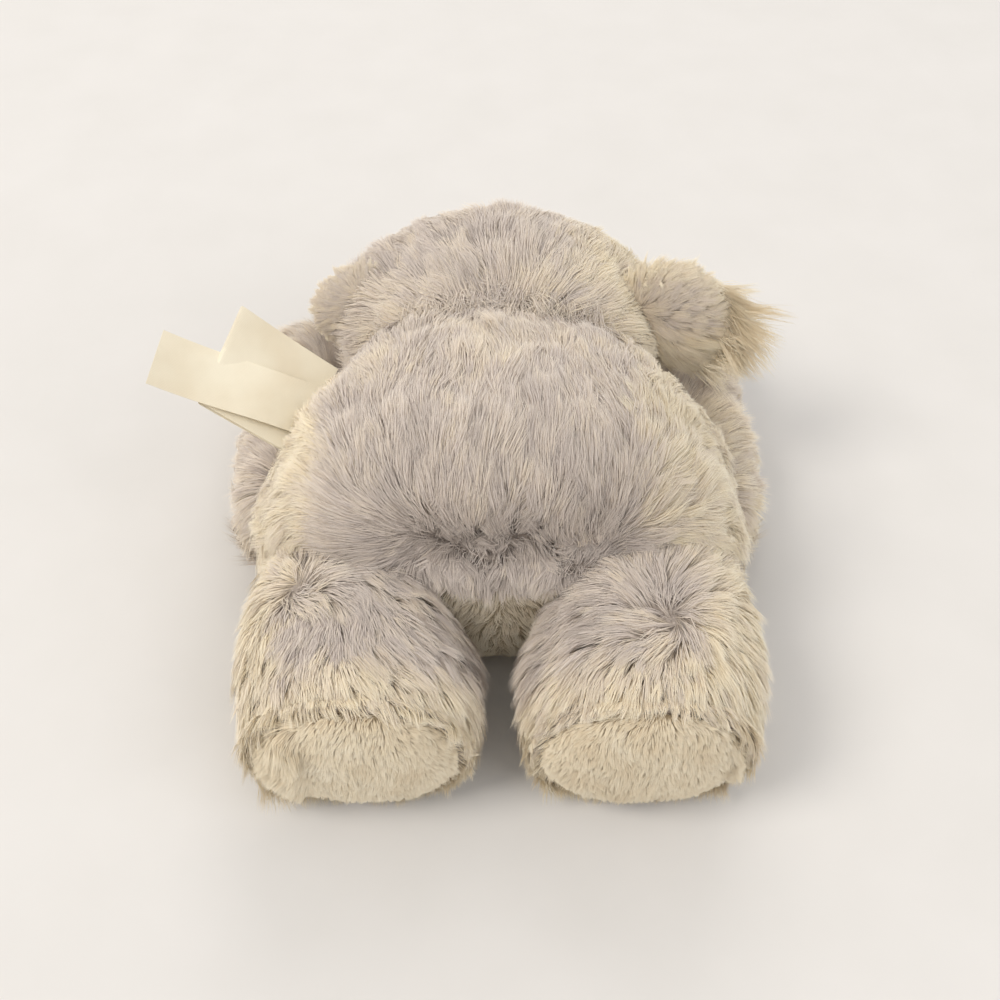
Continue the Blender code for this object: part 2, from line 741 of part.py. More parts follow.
def build_arm(looks, name, side):
    """An arm's cover, closed by hand along a slit on its inner side, and its stuffing."""
    swing = empty(f"arm_{name}_swing", Matrix.Translation((0, shoulder_y(), shoulder_z())))
    back = Matrix.Translation((0, -shoulder_y(), -shoulder_z()))
    skin = node(f"arm_{name}", lofted(arm_slices(side, 0)), looks["grey_plush"], swing, back)
    hollow = node(f"arm hollow {name}", lofted(arm_slices(side, -CLOTH)))
    stuffing = node(
        f"arm_{name}_stuffing", lofted(arm_slices(side, -CLOTH - GAP)), looks["fibre"], swing, back
    )
    for cut, more in ((skin, 0), (hollow, CLOTH), (stuffing, CLOTH + GAP)):
        dish = shoulder_dish(f"torso past {cut.name}", side, SHOULDER_MARGIN + more)
        boolean(cut, "DIFFERENCE", dish)
    boolean(skin, "UNION", node(f"shoulder root {name}", shoulder_root(side, 0)))
    boolean(skin, "DIFFERENCE", hollow)
    along, across = CLOSING_SLIT
    middle = (ARM_REAR + ARM_FRONT) / 2
    near, far = sorted((side * arm_x(side), side * (arm_x(side) - 2 * ARM_RADIUS)))
    low = (near, middle - along / 2, shoulder_z() - across / 2)
    high = (far, middle + along / 2, shoulder_z() + across / 2)
    boolean(skin, "DIFFERENCE", node(f"closing slit of arm {name}", box(low, high)))


def build_leg(looks, name, side):
    """A leg's cover, open behind, the sole panel that closes it, and its stuffing."""
    swing = empty(f"leg_{name}_swing", Matrix.Translation((0, HIP_Y, HIP_Z)))
    back = Matrix.Translation((0, -HIP_Y, -HIP_Z))
    skin = node(f"leg_{name}", lofted(leg_slices(side, 0)), looks["grey_plush"], swing, back)
    hollow = node(f"leg hollow {name}", lofted(leg_slices(side, -CLOTH, OVERRUN)))
    stuffing = node(
        f"leg_{name}_stuffing", lofted(leg_slices(side, -CLOTH - GAP)), looks["fibre"], swing, back
    )
    for cut, more in ((skin, 0), (hollow, CLOTH), (stuffing, CLOTH + GAP)):
        past = node(f"torso past {cut.name}", lofted(torso_slices(HIP_MARGIN + more)))
        boolean(cut, "DIFFERENCE", past)
    boolean(skin, "UNION", node(f"hip root {name}", hip_root(side, 0)))
    boolean(skin, "DIFFERENCE", hollow)

    sole = node(
        f"sole_{name}",
        lofted(leg_slices(side, -CLOTH - GAP, OVERRUN)),
        looks["short_pile"],
        swing,
        back,
    )
    behind = Vector((0, -1, 0))
    sole_front = Vector((0, LEG_SOLE_Y + CLOTH, 0))
    inside = half_space(f"behind the stuffing of leg {name}", sole_front - behind * GAP, behind)
    boolean(stuffing, "DIFFERENCE", inside)
    boolean(sole, "INTERSECT", half_space(f"behind the sole {name}", sole_front, behind))
    past_rim = Vector((0, LEG_SOLE_Y, 0))
    boolean(sole, "DIFFERENCE", half_space(f"past the rim of leg {name}", past_rim, behind))


def label_place():
    """The labels' frame: X nearly along the seam, Y outwards, Z off the labels' upper face."""
    flank = [point for point in seam_points(0) if point.x < 0]
    flank.sort(key=lambda point: point.y)
    behind = max(k for k, point in enumerate(flank) if point.y < LABEL_Y)
    low, high = flank[behind], flank[behind + 1]
    root = low.lerp(high, (LABEL_Y - low.y) / (high.y - low.y))
    along = Matrix.Rotation(LABEL_TURN, 3, "Z") @ (high - low).normalized()
    level_out = Vector((-along.y, along.x, 0)).normalized()
    out = level_out * math.cos(LABEL_RISE) + along.cross(level_out) * math.sin(LABEL_RISE)
    turned = Matrix((along, out, along.cross(out))).transposed()
    return Matrix.Translation(root + level_out * LABEL_STAND_OFF) @ turned.to_4x4()


def slanted(mesh, angle):
    """Leans a label's sides towards the rear, and leaves its root where it is."""
    for vert in mesh.verts:
        vert.co.x -= vert.co.y * math.tan(angle)
    return mesh


def extruded(outline, start, end):
    """A prism of an outline of (y, z) points between two places along X."""
    return lofted([[Vector((x, y, z)) for y, z in outline] for x in (start, end)])


def loop_outline(length):
    """The folded label from its side: two layers, joined by a round fold at the far end."""
    inner, outer = LABEL_FOLD_RADIUS, LABEL_FOLD_RADIUS + SATIN
    turn_at = length - outer
    turns = [math.pi * (k / FOLD_STEPS - 0.5) for k in range(FOLD_STEPS + 1)]
    outline = [(0, -outer)]
    outline += [(turn_at + outer * math.cos(t), outer * math.sin(t)) for t in turns]
    outline += [(0, outer), (0, inner)]
    outline += [(turn_at + inner * math.cos(t), inner * math.sin(t)) for t in reversed(turns)]
    outline.append((0, -inner))
    return outline


def build_labels(looks, groove):
    """The folded label, and the narrow strip over it, which turns on the same line."""
    care_half, strip_half = CARE_LABEL_SIZE[0] / 2, STRIP_SIZE[0] / 2
    strip_ends = (STRIP_SHIFT - strip_half, STRIP_SHIFT + strip_half)
    flip = empty("care_label_flip", label_place())
    groove.matrix_world = label_place()

    loop = slanted(extruded(loop_outline(CARE_LABEL_SIZE[1]), -care_half, care_half), LABEL_SLANT)
    care = node("care_label", loop, looks["satin"], flip)
    room = rod(
        LABEL_ROOT_RADIUS + GAP, (strip_ends[0] - GAP, 0, 0), (strip_ends[1] + GAP, 0, 0)
    )
    whole = rod(LABEL_ROOT_RADIUS, (-care_half, 0, 0), (care_half, 0, 0))
    boolean(care, "UNION", node("care label root", whole, None, flip))
    boolean(care, "DIFFERENCE", node("room for the strip's root", room, None, flip))

    lift = empty("narrow_label_flip", Matrix(), flip)
    low = LABEL_FOLD_RADIUS + SATIN + GAP
    sheet = box((strip_ends[0], 0, low), (strip_ends[1], STRIP_SIZE[1], low + SATIN))
    strip = node("narrow_label", slanted(sheet, STRIP_SLANT), looks["satin"], lift)
    strip_root = rod(LABEL_ROOT_RADIUS, (strip_ends[0], 0, 0), (strip_ends[1], 0, 0))
    boolean(strip, "UNION", node("strip root", strip_root, None, lift))


def label_groove():
    half = CARE_LABEL_SIZE[0] / 2 + GAP
    return node("label groove", rod(LABEL_ROOT_RADIUS + GAP, (-half, 0, 0), (half, 0, 0)))


def main():
    clear_scene()
    looks = {name: material(name, look) for name, look in LOOKS.items()}
    groove = label_groove()
    build_labels(looks, groove)
    build_torso(looks, groove)
    build_head(looks)
    for name, side in SIDES.items():
        build_arm(looks, name, side)
        build_leg(looks, name, side)


main()
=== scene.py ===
"""The looks of a small stuffed koala that lies on its belly: covers, pile, face, labels and light.

Metres, with +Z up, +Y towards the nose and +X to the koala's right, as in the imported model.
Each cover is a closed stuffed form. Its pile is a piece of its own, made of thin tapered strands
that are combed, gathered into locks and cut to length, and that ride with the cover.
"""

import json
import logging
import math
from collections.abc import Callable, Sequence
from dataclasses import dataclass
from enum import Enum
from functools import cache
from typing import Any

import bpy
import numpy as np
from mathutils import Matrix, Vector
from mathutils.bvhtree import BVHTree
from mathutils.kdtree import KDTree


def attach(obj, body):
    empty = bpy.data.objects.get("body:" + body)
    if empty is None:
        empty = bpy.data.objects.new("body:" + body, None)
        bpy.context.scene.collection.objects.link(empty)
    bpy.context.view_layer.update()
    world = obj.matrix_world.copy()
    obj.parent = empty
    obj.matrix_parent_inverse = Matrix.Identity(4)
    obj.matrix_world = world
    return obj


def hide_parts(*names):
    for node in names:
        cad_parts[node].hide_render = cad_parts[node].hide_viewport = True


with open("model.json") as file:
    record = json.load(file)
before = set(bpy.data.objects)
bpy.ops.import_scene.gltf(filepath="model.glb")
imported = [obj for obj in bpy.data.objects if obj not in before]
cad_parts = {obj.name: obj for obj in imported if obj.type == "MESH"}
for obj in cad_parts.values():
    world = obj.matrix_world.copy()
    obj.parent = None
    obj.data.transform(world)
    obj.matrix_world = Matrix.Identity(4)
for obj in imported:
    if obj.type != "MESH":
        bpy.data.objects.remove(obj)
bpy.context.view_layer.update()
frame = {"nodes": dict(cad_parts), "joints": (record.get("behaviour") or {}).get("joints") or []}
log = logging.getLogger("koala")

RGB = tuple[float, float, float]
XYZ = tuple[float, float, float]
Table = Sequence[Sequence[float]]
Array = np.ndarray
Form = bpy.types.Object
Field = Callable[[Array, Array], Array]

BAKE_MAP = "OFBake"
CLOTH_MAP = "Cloth"
FLOOR_CLEAR = 0.0003
ROOT_DEPTH = 0.0008
ROOT_REACH = 0.02


class Side(Enum):
    """The koala's own left or right, as the sign of X."""

    LEFT = -1
    RIGHT = 1

    @property
    def word(self) -> str:
        """The side's name as the model's bodies use it."""
        return self.name.lower()

    def pick(self, left: Any, right: Any) -> Any:
        """The one of two values that belongs to this side."""
        return right if self is Side.RIGHT else left


# ---------------------------------------------------------------- shader maths


class Wire:
    """A shader socket that can be used in plain arithmetic."""

    def __init__(self, tree: bpy.types.NodeTree, socket: bpy.types.NodeSocket) -> None:
        """Keeps the socket and the tree it is in."""
        self.tree = tree
        self.socket = socket

    def _maths(self, operation: str, other: "Wire | float", swapped: bool = False) -> "Wire":
        """Adds a Math node.

        Args:
            operation: the node's operation.
            other: the other value, a socket or a number.
            swapped: whether the other value comes first.

        Returns:
            The node's output.
        """
        node = self.tree.nodes.new("ShaderNodeMath")
        node.operation = operation
        for place, value in zip(node.inputs, (other, self) if swapped else (self, other)):
            plug(self.tree, place, value)
        return Wire(self.tree, node.outputs[0])

    def __add__(self, other: "Wire | float") -> "Wire":
        """self + other."""
        return self._maths("ADD", other)

    def __mul__(self, other: "Wire | float") -> "Wire":
        """self * other."""
        return self._maths("MULTIPLY", other)

    def __rsub__(self, other: float) -> "Wire":
        """other - self."""
        return self._maths("SUBTRACT", other, swapped=True)

    def __pow__(self, other: float) -> "Wire":
        """self to the power of other."""
        return self._maths("POWER", other)

    __radd__ = __add__
    __rmul__ = __mul__


def plug(tree: bpy.types.NodeTree, place: bpy.types.NodeSocket, value: Any) -> None:
    """Links a wire into a socket, or sets the socket's own value.

    Args:
        tree: the tree that holds the socket.
        place: the socket to feed.
        value: a wire, a number, a vector or a colour.
    """
    if isinstance(value, Wire):
        tree.links.new(value.socket, place)
    else:
        place.default_value = value


def linear(colour: RGB) -> tuple[float, float, float, float]:
    """A screen colour from 0 to 255 as the linear colour that a shader takes."""
    shares = [c / 255 for c in colour]
    return (*(s / 12.92 if s <= 0.04045 else ((s + 0.055) / 1.055) ** 2.4 for s in shares), 1.0)


class Mixture:
    """The nodes of one material, round its Principled shader."""

    def __init__(self, name: str, **constants: float) -> None:
        """Makes the material and sets the values that are the same all over.

        Args:
            name: the material's name.
            constants: values of the shader's sockets, with _ for a space.
        """
        self.material = bpy.data.materials.new(name)
        self.material.use_nodes = True
        self.tree = self.material.node_tree
        self.shader = self.tree.nodes["Principled BSDF"]
        for key, value in constants.items():
            self.shader.inputs[key.replace("_", " ")].default_value = value

    def node(
        self, kind: str, settings: dict | None = None, inputs: dict | None = None,
        output: str | int = 0,
    ) -> Wire:
        """Adds any node.

        Args:
            kind: the node's type, without the word before it.
            settings: its properties, set first. "stops" are a ramp's places and colours.
            inputs: values or wires for its sockets, by name or number.
            output: which output to return.

        Returns:
            The chosen output.
        """
        made = self.tree.nodes.new("ShaderNode" + kind)
        for key, value in (settings or {}).items():
            if key == "stops":
                elements = made.color_ramp.elements
                while len(elements) < len(value):
                    elements.new(1.0)
                for element, (place, colour) in zip(elements, value):
                    element.position, element.color = place, colour
            else:
                setattr(made, key, value)
        for key, value in (inputs or {}).items():
            plug(self.tree, made.inputs[key], value)
        return Wire(self.tree, made.outputs[output])

    def place(self) -> Wire:
        """The piece's own coordinates."""
        return self.node("TexCoord", output="Object")

    def ramp(self, value: Wire, colours: Sequence[RGB]) -> Wire:
        """Screen colours at even steps along a value from 0 to 1."""
        last = len(colours) - 1
        stops = [(k / last, linear(colour)) for k, colour in enumerate(colours)]
        return self.node("ValToRGB", {"stops": stops}, {"Fac": value})

    def mix(self, share: Wire, first: Any, second: Any) -> Wire:
        """A mix of two colours, by the second one's share."""
        return self.node("Mix", {"data_type": "RGBA"}, {0: share, 6: first, 7: second}, 2)

    def rise(self, value: Wire, low: float, high: float) -> Wire:
        """A smooth step from 0 at low to 1 at high."""
        ways = {"interpolation_type": "SMOOTHSTEP"}
        return self.node("MapRange", ways, {"Value": value, "From Min": low, "From Max": high})

    def noise(self, scale: float, detail: float = 3.0, stretch: XYZ = (1, 1, 1)) -> Wire:
        """Noise on the piece's own coordinates.

        Args:
            scale: features to the metre.
            detail: how many finer layers it has.
            stretch: how the coordinates are scaled first.

        Returns:
            The noise's value.
        """
        place = self.node("Mapping", None, {"Vector": self.place(), "Scale": stretch})
        return self.node("TexNoise", None, {"Vector": place, "Scale": scale, "Detail": detail})

    def cells(self, scale: float) -> Wire:
        """How far the surface is from the middles of small cells, so many to the metre."""
        return self.node("TexVoronoi", None, {"Vector": self.place(), "Scale": scale}, "Distance")

    def waves(self, way: str, place: Wire, scale: float, distortion: float) -> Wire:
        """Even bands across a direction.

        Args:
            way: the bands' direction.
            place: the coordinates.
            scale: bands to the unit.
            distortion: how much they wander.

        Returns:
            The bands' value.
        """
        inputs = {"Vector": place, "Scale": scale, "Distortion": distortion}
        return self.node("TexWave", {"bands_direction": way}, inputs, "Fac")

    def tones(self, share: Wire, dark: RGB, light: RGB) -> None:
        """Feeds the base colour with a mix of two screen colours."""
        self.feed("Base Color", self.mix(share, linear(dark), linear(light)))

    def bump(self, height: Wire, strength: float, distance: float) -> None:
        """Feeds the normal with a bump of a strength and of a height in metres."""
        inputs = {"Height": height, "Strength": strength, "Distance": distance}
        self.feed("Normal", self.node("Bump", None, inputs))

    def feed(self, socket: str, value: Wire) -> None:
        """Links a wire to one of the shader's sockets."""
        plug(self.tree, self.shader.inputs[socket], value)

    def glow(self, share: Wire, colour: RGB) -> None:
        """Fades the surface into a plain screen colour of its own light."""
        light = self.node("Emission", None, {"Color": linear(colour)})
        own = Wire(self.tree, self.shader.outputs[0])
        faded = self.node("MixShader", None, {0: share, 1: own, 2: light})
        plug(self.tree, self.tree.nodes["Material Output"].inputs["Surface"], faded)


# ---------------------------------------------------------------- finishes


@dataclass(frozen=True)
class Pile:
    """Long-haired fabric: colours from the darkest to the palest strand, at root, middle, tip."""

    name: str
    slot: str
    roots: tuple[RGB, ...]
    middles: tuple[RGB, ...]
    tips: tuple[RGB, ...]
    tip_start: float = 0.45
    root_end: float = 0.05
    roughness: float = 0.58

    def material(self) -> bpy.types.Material:
        """The strands' material, read from the map that holds each strand's tone and length.

        Returns:
            The material.
        """
        mixture = Mixture(
            self.name, Roughness=self.roughness, Specular_IOR_Level=0.32, Sheen_Weight=0.08
        )
        place = mixture.node("UVMap", {"uv_map": BAKE_MAP})
        tone, along = (mixture.node("SeparateXYZ", None, {0: place}, axis) for axis in "XY")
        low = mixture.mix(
            mixture.rise(along, self.root_end, self.tip_start),
            mixture.ramp(tone, self.roots),
            mixture.ramp(tone, self.middles),
        )
        tips = mixture.ramp(tone, self.tips)
        mixture.feed("Base Color", mixture.mix(mixture.rise(along, self.tip_start, 1.0), low, tips))
        return mixture.material


def loops(mixture: Mixture) -> Wire:
    """Rows of small knitted loops, in uneven light and dark."""
    return mixture.rise(1 - mixture.cells(900.0), 0.3, 0.9) * (0.6 + 0.4 * mixture.noise(260.0))


def wisps(mixture: Mixture) -> Wire:
    """Combed loose fibre."""
    return mixture.noise(420.0, 6.0, (1.0, 0.25, 1.0)) ** 1.4


def pellets(mixture: Mixture) -> Wire:
    """Pellets that press through a plain weave."""
    return 0.8 * (1 - mixture.cells(330.0)) + 0.2 * mixture.noise(2600.0, 1.0)


def moulding(mixture: Mixture) -> Wire:
    """The fine grain of a moulded piece."""
    return mixture.noise(1800.0, 3.0)


def plies(mixture: Mixture) -> Wire:
    """The slanted plies of a twisted thread."""
    return mixture.waves("DIAGONAL", mixture.place(), 900.0, 0.6)


@dataclass(frozen=True)
class Surface:
    """A finish of two tones and a relief, strong and high so much, which follow one height."""

    name: str
    slot: str
    dark: RGB
    light: RGB
    height: Callable[[Mixture], Wire]
    relief: tuple[float, float]
    roughness: float
    specular: float
    sheen: float = 0.0
    uneven: float = 0.0

    def material(self) -> bpy.types.Material:
        """The finish's material, rougher on its heights where it is uneven.

        Returns:
            The material.
        """
        mixture = Mixture(
            self.name, Roughness=self.roughness, Specular_IOR_Level=self.specular,
            Sheen_Weight=self.sheen,
        )
        height = self.height(mixture)
        mixture.tones(height, self.dark, self.light)
        if self.uneven:
            mixture.feed("Roughness", self.roughness + self.uneven * height)
        mixture.bump(height, *self.relief)
        return mixture.material


@dataclass(frozen=True)
class Gloss:
    """Polished black plastic, with faint handling marks in its shine."""

    name: str
    deep: RGB
    rim: RGB
    roughness: float
    grain: float
    slot: str = "black_plastic"

    def material(self) -> bpy.types.Material:
        """The plastic's material.

        Returns:
            The material.
        """
        mixture = Mixture(self.name, Specular_IOR_Level=0.5, Coat_Roughness=0.04)
        speckle = mixture.rise(mixture.noise(240.0, 2.0), 0.35, 0.75)
        mixture.tones(speckle, self.deep, self.rim)
        mixture.feed("Roughness", self.roughness + 0.10 * mixture.noise(900.0, 4.0))
        mixture.bump(mixture.noise(1500.0, 3.0), self.grain, 0.0002)
        return mixture.material


@dataclass(frozen=True)
class Satin:
    """Woven satin tape: fine threads along and across, on the label's own map."""

    name: str = "woven satin"
    slot: str = "satin"
    shade: RGB = (232, 217, 188)
    light: RGB = (252, 244, 222)
    warp: float = 46.0
    weft: float = 80.0

    def material(self) -> bpy.types.Material:
        """The tape's material.

        Returns:
            The material.
        """
        mixture = Mixture(self.name, Specular_IOR_Level=0.45, Sheen_Weight=0.15)
        place = mixture.node("UVMap", {"uv_map": CLOTH_MAP})
        warp, weft = (
            mixture.node(
                "TexWave",
                {"bands_direction": way},
                {"Vector": place, "Scale": count / 2, "Distortion": 0.3, "Detail": 1.0},
                "Fac",
            )
            for way, count in (("X", self.warp), ("Y", self.weft))
        )
        weave = 0.45 * warp + 0.55 * weft
        tone = 0.55 * mixture.rise(mixture.noise(55.0, 3.0), 0.25, 0.75) + 0.45 * weave
        mixture.tones(tone, self.shade, self.light)
        mixture.feed("Roughness", 0.58 - 0.16 * weave)
        mixture.bump(weave, 0.35, 0.00012)
        return mixture.material


@dataclass(frozen=True)
class Ground:
    """The plain pale floor, which fades into the backdrop far from the koala."""

    name: str = "pale floor"
    shade: RGB = (222, 219, 215)
    light: RGB = (229, 226, 223)
    backdrop: RGB = (238, 236, 231)
    fade: tuple[float, float] = (0.35, 1.8)

    def material(self) -> bpy.types.Material:
        """The floor's material.

        Returns:
            The material.
        """
        mixture = Mixture(self.name, Roughness=0.9, Specular_IOR_Level=0.1)
        mixture.tones(mixture.noise(30.0, 4.0), self.shade, self.light)
        far = mixture.node("VectorMath", {"operation": "LENGTH"}, {0: mixture.place()}, "Value")
        seen = mixture.node("LightPath", output="Is Camera Ray")
        mixture.glow(mixture.rise(far, *self.fade) * seen, self.backdrop)
        return mixture.material


def backing(name: str, slot: str, valley: RGB, loop: RGB) -> Surface:
    """The knitted cloth under a pile, darkened to the colours of the hair's roots as painted shade.
    """
    return Surface(name, slot, valley, loop, loops, (0.6, 0.0004), 0.95, 0.1, 0.2)


def thread(name: str, slot: str, dark: RGB, light: RGB) -> Surface:
    """Twisted sewing or embroidery thread."""
    return Surface(name, slot, dark, light, plies, (0.5, 0.0002), 0.6, 0.3, 0.2)


GREY_PILE = Pile(
    "grey pile",
    "grey_plush",
    roots=((136, 125, 117), (174, 161, 151), (192, 177, 158), (210, 191, 159)),
    middles=((178, 166, 157), (217, 205, 196), (233, 219, 200), (248, 234, 205)),
    tips=((196, 184, 174), (232, 222, 213), (246, 235, 217), (255, 247, 226)),
)
CREAM_PILE = Pile(
    "cream pile",
    "cream_plush",
    roots=((160, 143, 116), (188, 171, 143), (206, 190, 163), (220, 205, 178)),
    middles=((200, 184, 157), (226, 211, 184), (240, 226, 201), (248, 237, 214)),
    tips=((212, 196, 170), (236, 222, 197), (246, 235, 213), (252, 245, 228)),
)
SHORT_PILE = Pile(
    "short pile",
    "short_pile",
    roots=((192, 172, 140), (212, 193, 162), (226, 209, 180), (236, 220, 194)),
    middles=((212, 193, 161), (236, 219, 189), (245, 231, 204), (250, 239, 216)),
    tips=((220, 202, 171), (240, 224, 195), (248, 236, 210), (253, 244, 223)),
    tip_start=0.5,
)
# The backings are darker than their pile: painted shade under the fur.
GREY_BACKING = backing("grey backing", "grey_plush", (164, 152, 142), (200, 187, 177))
CREAM_BACKING = backing("cream backing", "cream_plush", (186, 170, 143), (220, 205, 178))
SOLE_BACKING = backing("sole backing", "short_pile", (206, 187, 155), (230, 213, 183))
EYE_GLOSS = Gloss("polished eye", (10, 8, 7), (30, 20, 14), 0.08, 0.02)
NOSE_GLOSS = Gloss("grained nose", (16, 14, 14), (34, 31, 31), 0.24, 0.25)
SEAM_THREAD = thread("sewing thread", "thread", (112, 104, 104), (162, 152, 152))
MOUTH_THREAD = thread("embroidery thread", "mouth_thread", (34, 30, 30), (78, 70, 68))
FILLING = Surface(
    "loose filling", "fibre", (222, 221, 216), (243, 243, 240), wisps, (0.7, 0.0010), 0.9, 0.2
)
BAG_CLOTH = Surface(
    "bag cloth", "pellet_cloth", (196, 194, 186), (226, 225, 219), pellets, (0.5, 0.0012), 0.85,
    0.25,
)
WASHER = Surface(
    "moulded washer", "washer_plastic", (205, 204, 198), (226, 225, 220), moulding,
    (0.25, 0.0002), 0.42, 0.4, uneven=0.2,
)


@cache
def dressed(finish: Any) -> bpy.types.Material:
    """The one material of a finish, made the first time it is asked for."""
    return finish.material()


# ---------------------------------------------------------------- shaping


def deselect() -> None:
    """Leaves nothing selected, so that an operator acts on new work alone."""
    bpy.ops.object.select_all(action="DESELECT")


def only(obj: Form) -> None:
    """Selects one object alone and makes it the active one."""
    deselect()
    obj.select_set(True)
    bpy.context.view_layer.objects.active = obj


def points_of(obj: Form, key: str = "co") -> Array:
    """A mesh's points, or another value of theirs, as an array of n by 3."""
    flat = np.zeros(len(obj.data.vertices) * 3)
    obj.data.vertices.foreach_get(key, flat)
    return flat.reshape(-1, 3)


def set_points(obj: Form, points: Array) -> None:
    """Moves a mesh's points to an array of n by 3."""
    obj.data.vertices.foreach_set("co", points.astype(np.float32).ravel())
    obj.data.update()


def push_out(obj: Form, amount: Array | float) -> None:
    """Moves a mesh's points out along their normals, all alike or each by its own amount."""
    set_points(obj, points_of(obj) + points_of(obj, "normal") * np.reshape(amount, (-1, 1)))


def apply_modifiers(obj: Form) -> None:
    """Applies every modifier of an object, in its order."""
    only(obj)
    for modifier in list(obj.modifiers):
        bpy.ops.object.modifier_apply(modifier=modifier.name)


def sphere_form(
    name: str, shape: Callable[[Array, Array], Array], segments: int = 72, rings: int = 48
) -> Form:
    """A ball whose points are moved onto a shape.

    Args:
        name: the piece's name.
        shape: takes shares from the lower to the upper pole, and angles round them, and
            returns points.
        segments: how many points go round.
        rings: how many rings go from pole to pole.

    Returns:
        The piece, with its place in its mesh.
    """
    deselect()
    bpy.ops.mesh.primitive_uv_sphere_add(segments=segments, ring_count=rings, radius=1.0)
    made = bpy.context.object
    made.name = made.data.name = name
    ball = points_of(made)
    level = np.rint((0.5 + np.arcsin(np.clip(ball[:, 2], -1, 1)) / math.pi) * rings).astype(int)
    turn = np.rint(np.arctan2(ball[:, 1], ball[:, 0]) / math.tau * segments).astype(int) % segments
    turn[(level == 0) | (level == rings)] = 0
    # The operator's own order of points and faces differs from run to run.
    order = np.lexsort((turn, level))
    place = np.argsort(order)
    faces = [place[list(polygon.vertices)] for polygon in made.data.polygons]
    faces = sorted(np.roll(face, -face.argmin()).tolist() for face in faces)
    points = shape(level[order] / rings, turn[order] * math.tau / segments)
    a, b, c = ((points - points.mean(axis=0))[[face[k] for face in faces]] for k in range(3))
    if np.sum(a * np.cross(b, c)) < 0:
        faces = [face[::-1] for face in faces]
    made.data.clear_geometry()
    made.data.from_pydata(points.tolist(), [], faces)
    made.data.update()
    return made


def copied(obj: Form, name: str) -> Form:
    """A copy of a piece with its own mesh."""
    only(obj)
    bpy.ops.object.duplicate(linked=False)
    made = bpy.context.object
    made.name = made.data.name = name
    return made


def cut_flat(obj: Form, point: Vector, keeps: Vector) -> None:
    """Cuts a closed piece at a plane and closes it there.

    Args:
        obj: the piece.
        point: a point of the plane.
        keeps: the direction of the side that stays.
    """
    only(obj)
    bpy.ops.object.mode_set(mode="EDIT")
    bpy.ops.mesh.select_all(action="SELECT")
    bpy.ops.mesh.bisect(plane_co=point, plane_no=keeps, use_fill=True, clear_inner=True)
    bpy.ops.object.mode_set(mode="OBJECT")


def cut_clear(obj: Form, other: Form) -> None:
    """Cuts another form out of a piece."""
    modifier = obj.modifiers.new("clear of " + other.name, "BOOLEAN")
    modifier.operation = "DIFFERENCE"
    modifier.solver = "EXACT"
    modifier.object = other
    apply_modifiers(obj)


def discard(*objs: Form) -> None:
    """Removes forms that were only there to shape others."""
    for obj in objs:
        bpy.data.objects.remove(obj, do_unlink=True)


def joint_named(name: str) -> tuple[Array, Array]:
    """Where one joint of the model is, and the direction of its axis."""
    joint = next(joint for joint in frame["joints"] if joint["name"] == name)
    return np.array(joint["pos_m"]), np.array(joint["axis"])


def table_at(rows: Table, along: Array) -> Array:
    """Rows of shares read from the smooth curve through them.

    Args:
        rows: the table.
        along: shares from its first to its last row.

    Returns:
        One row for each share.
    """
    held = np.array(rows, float)
    last = len(held) - 1
    steps = np.clip(along, 0, 1) * last
    start = np.minimum(steps.astype(int), last - 1)
    t = (steps - start)[:, None]
    a, b, c, d = (held[np.clip(start + k, 0, last)] for k in (-1, 0, 1, 2))
    return (2 * b + (c - a) * t + (2 * a - 5 * b + 4 * c - d) * t**2
            + (3 * b - a - 3 * c + d) * t**3) / 2


def ring_at(turn: Array, squareness: float) -> tuple[Array, Array]:
    """Across and ahead round a slice, a circle at squareness 2 and squarer above it."""
    shares = (np.cos(turn), np.sin(turn))
    across, ahead = (np.copysign(np.abs(s) ** (2 / squareness), s) for s in shares)
    return across, ahead


def ball_at(along: Array, turn: Array) -> Array:
    """Points of a ball of radius 1, for shares from pole to pole and angles round them."""
    lift, level = np.sin((along - 0.5) * math.pi), np.cos((along - 0.5) * math.pi)
    return np.stack([level * np.cos(turn), level * np.sin(turn), lift], 1)


# ---------------------------------------------------------------- fields


def unit(vectors: Array) -> Array:
    """Vectors with length 1."""
    return vectors / np.maximum(np.linalg.norm(vectors, axis=-1, keepdims=True), 1e-12)


def tangent(vectors: Array, normals: Array) -> Array:
    """Vectors with what points along the normals taken out."""
    return vectors - normals * np.sum(vectors * normals, axis=1, keepdims=True)


def length_of(vectors: Array) -> Array:
    """The lengths of an array of vectors."""
    return np.linalg.norm(vectors, axis=1)


def step(values: Array, low: float, high: float) -> Array:
    """A smooth step from 0 at low to 1 at high."""
    t = np.clip((values - low) / (high - low), 0, 1)
    return t * t * (3 - 2 * t)


def fade(values: Array, low: float, high: float) -> Array:
    """A smooth step from 1 at low to 0 at high."""
    return 1 - step(values, low, high)


def near_line(points: Array, start: Sequence[float], end: Sequence[float]) -> Array:
    """Vectors from the nearest point of a line, from its start to its end, to each point."""
    a, b = np.array(start), np.array(end)
    share = np.clip((points - a) @ (b - a) / ((b - a) @ (b - a)), 0, 1)
    return points - (a + share[:, None] * (b - a))


def ripple(points: Array, size: float, seed: int) -> Array:
    """Smooth noise about 0, as a sum of waves in many directions.

    Args:
        points: where it is read.
        size: the waves' length in metres.
        seed: which noise.

    Returns:
        One value for each point, mostly from -1 to 1.
    """
    rng = np.random.default_rng(seed)
    total = np.zeros(len(points))
    for _ in range(7):
        way = unit(rng.normal(size=3))
        stretch = rng.uniform(0.6, 1.6)
        total += np.sin(points @ way * (math.tau / (size * stretch)) + rng.uniform(0, 7))
    return total / 2.6


def wandering(points: Array, axes: dict[int, float], size: float, seed: int) -> Array:
    """Points that are moved a little by noise, each axis by its own amount."""
    bent = points.copy()
    for axis, amount in axes.items():
        bent[:, axis] += amount * ripple(points, size, seed + axis)
    return bent


# ---------------------------------------------------------------- pile


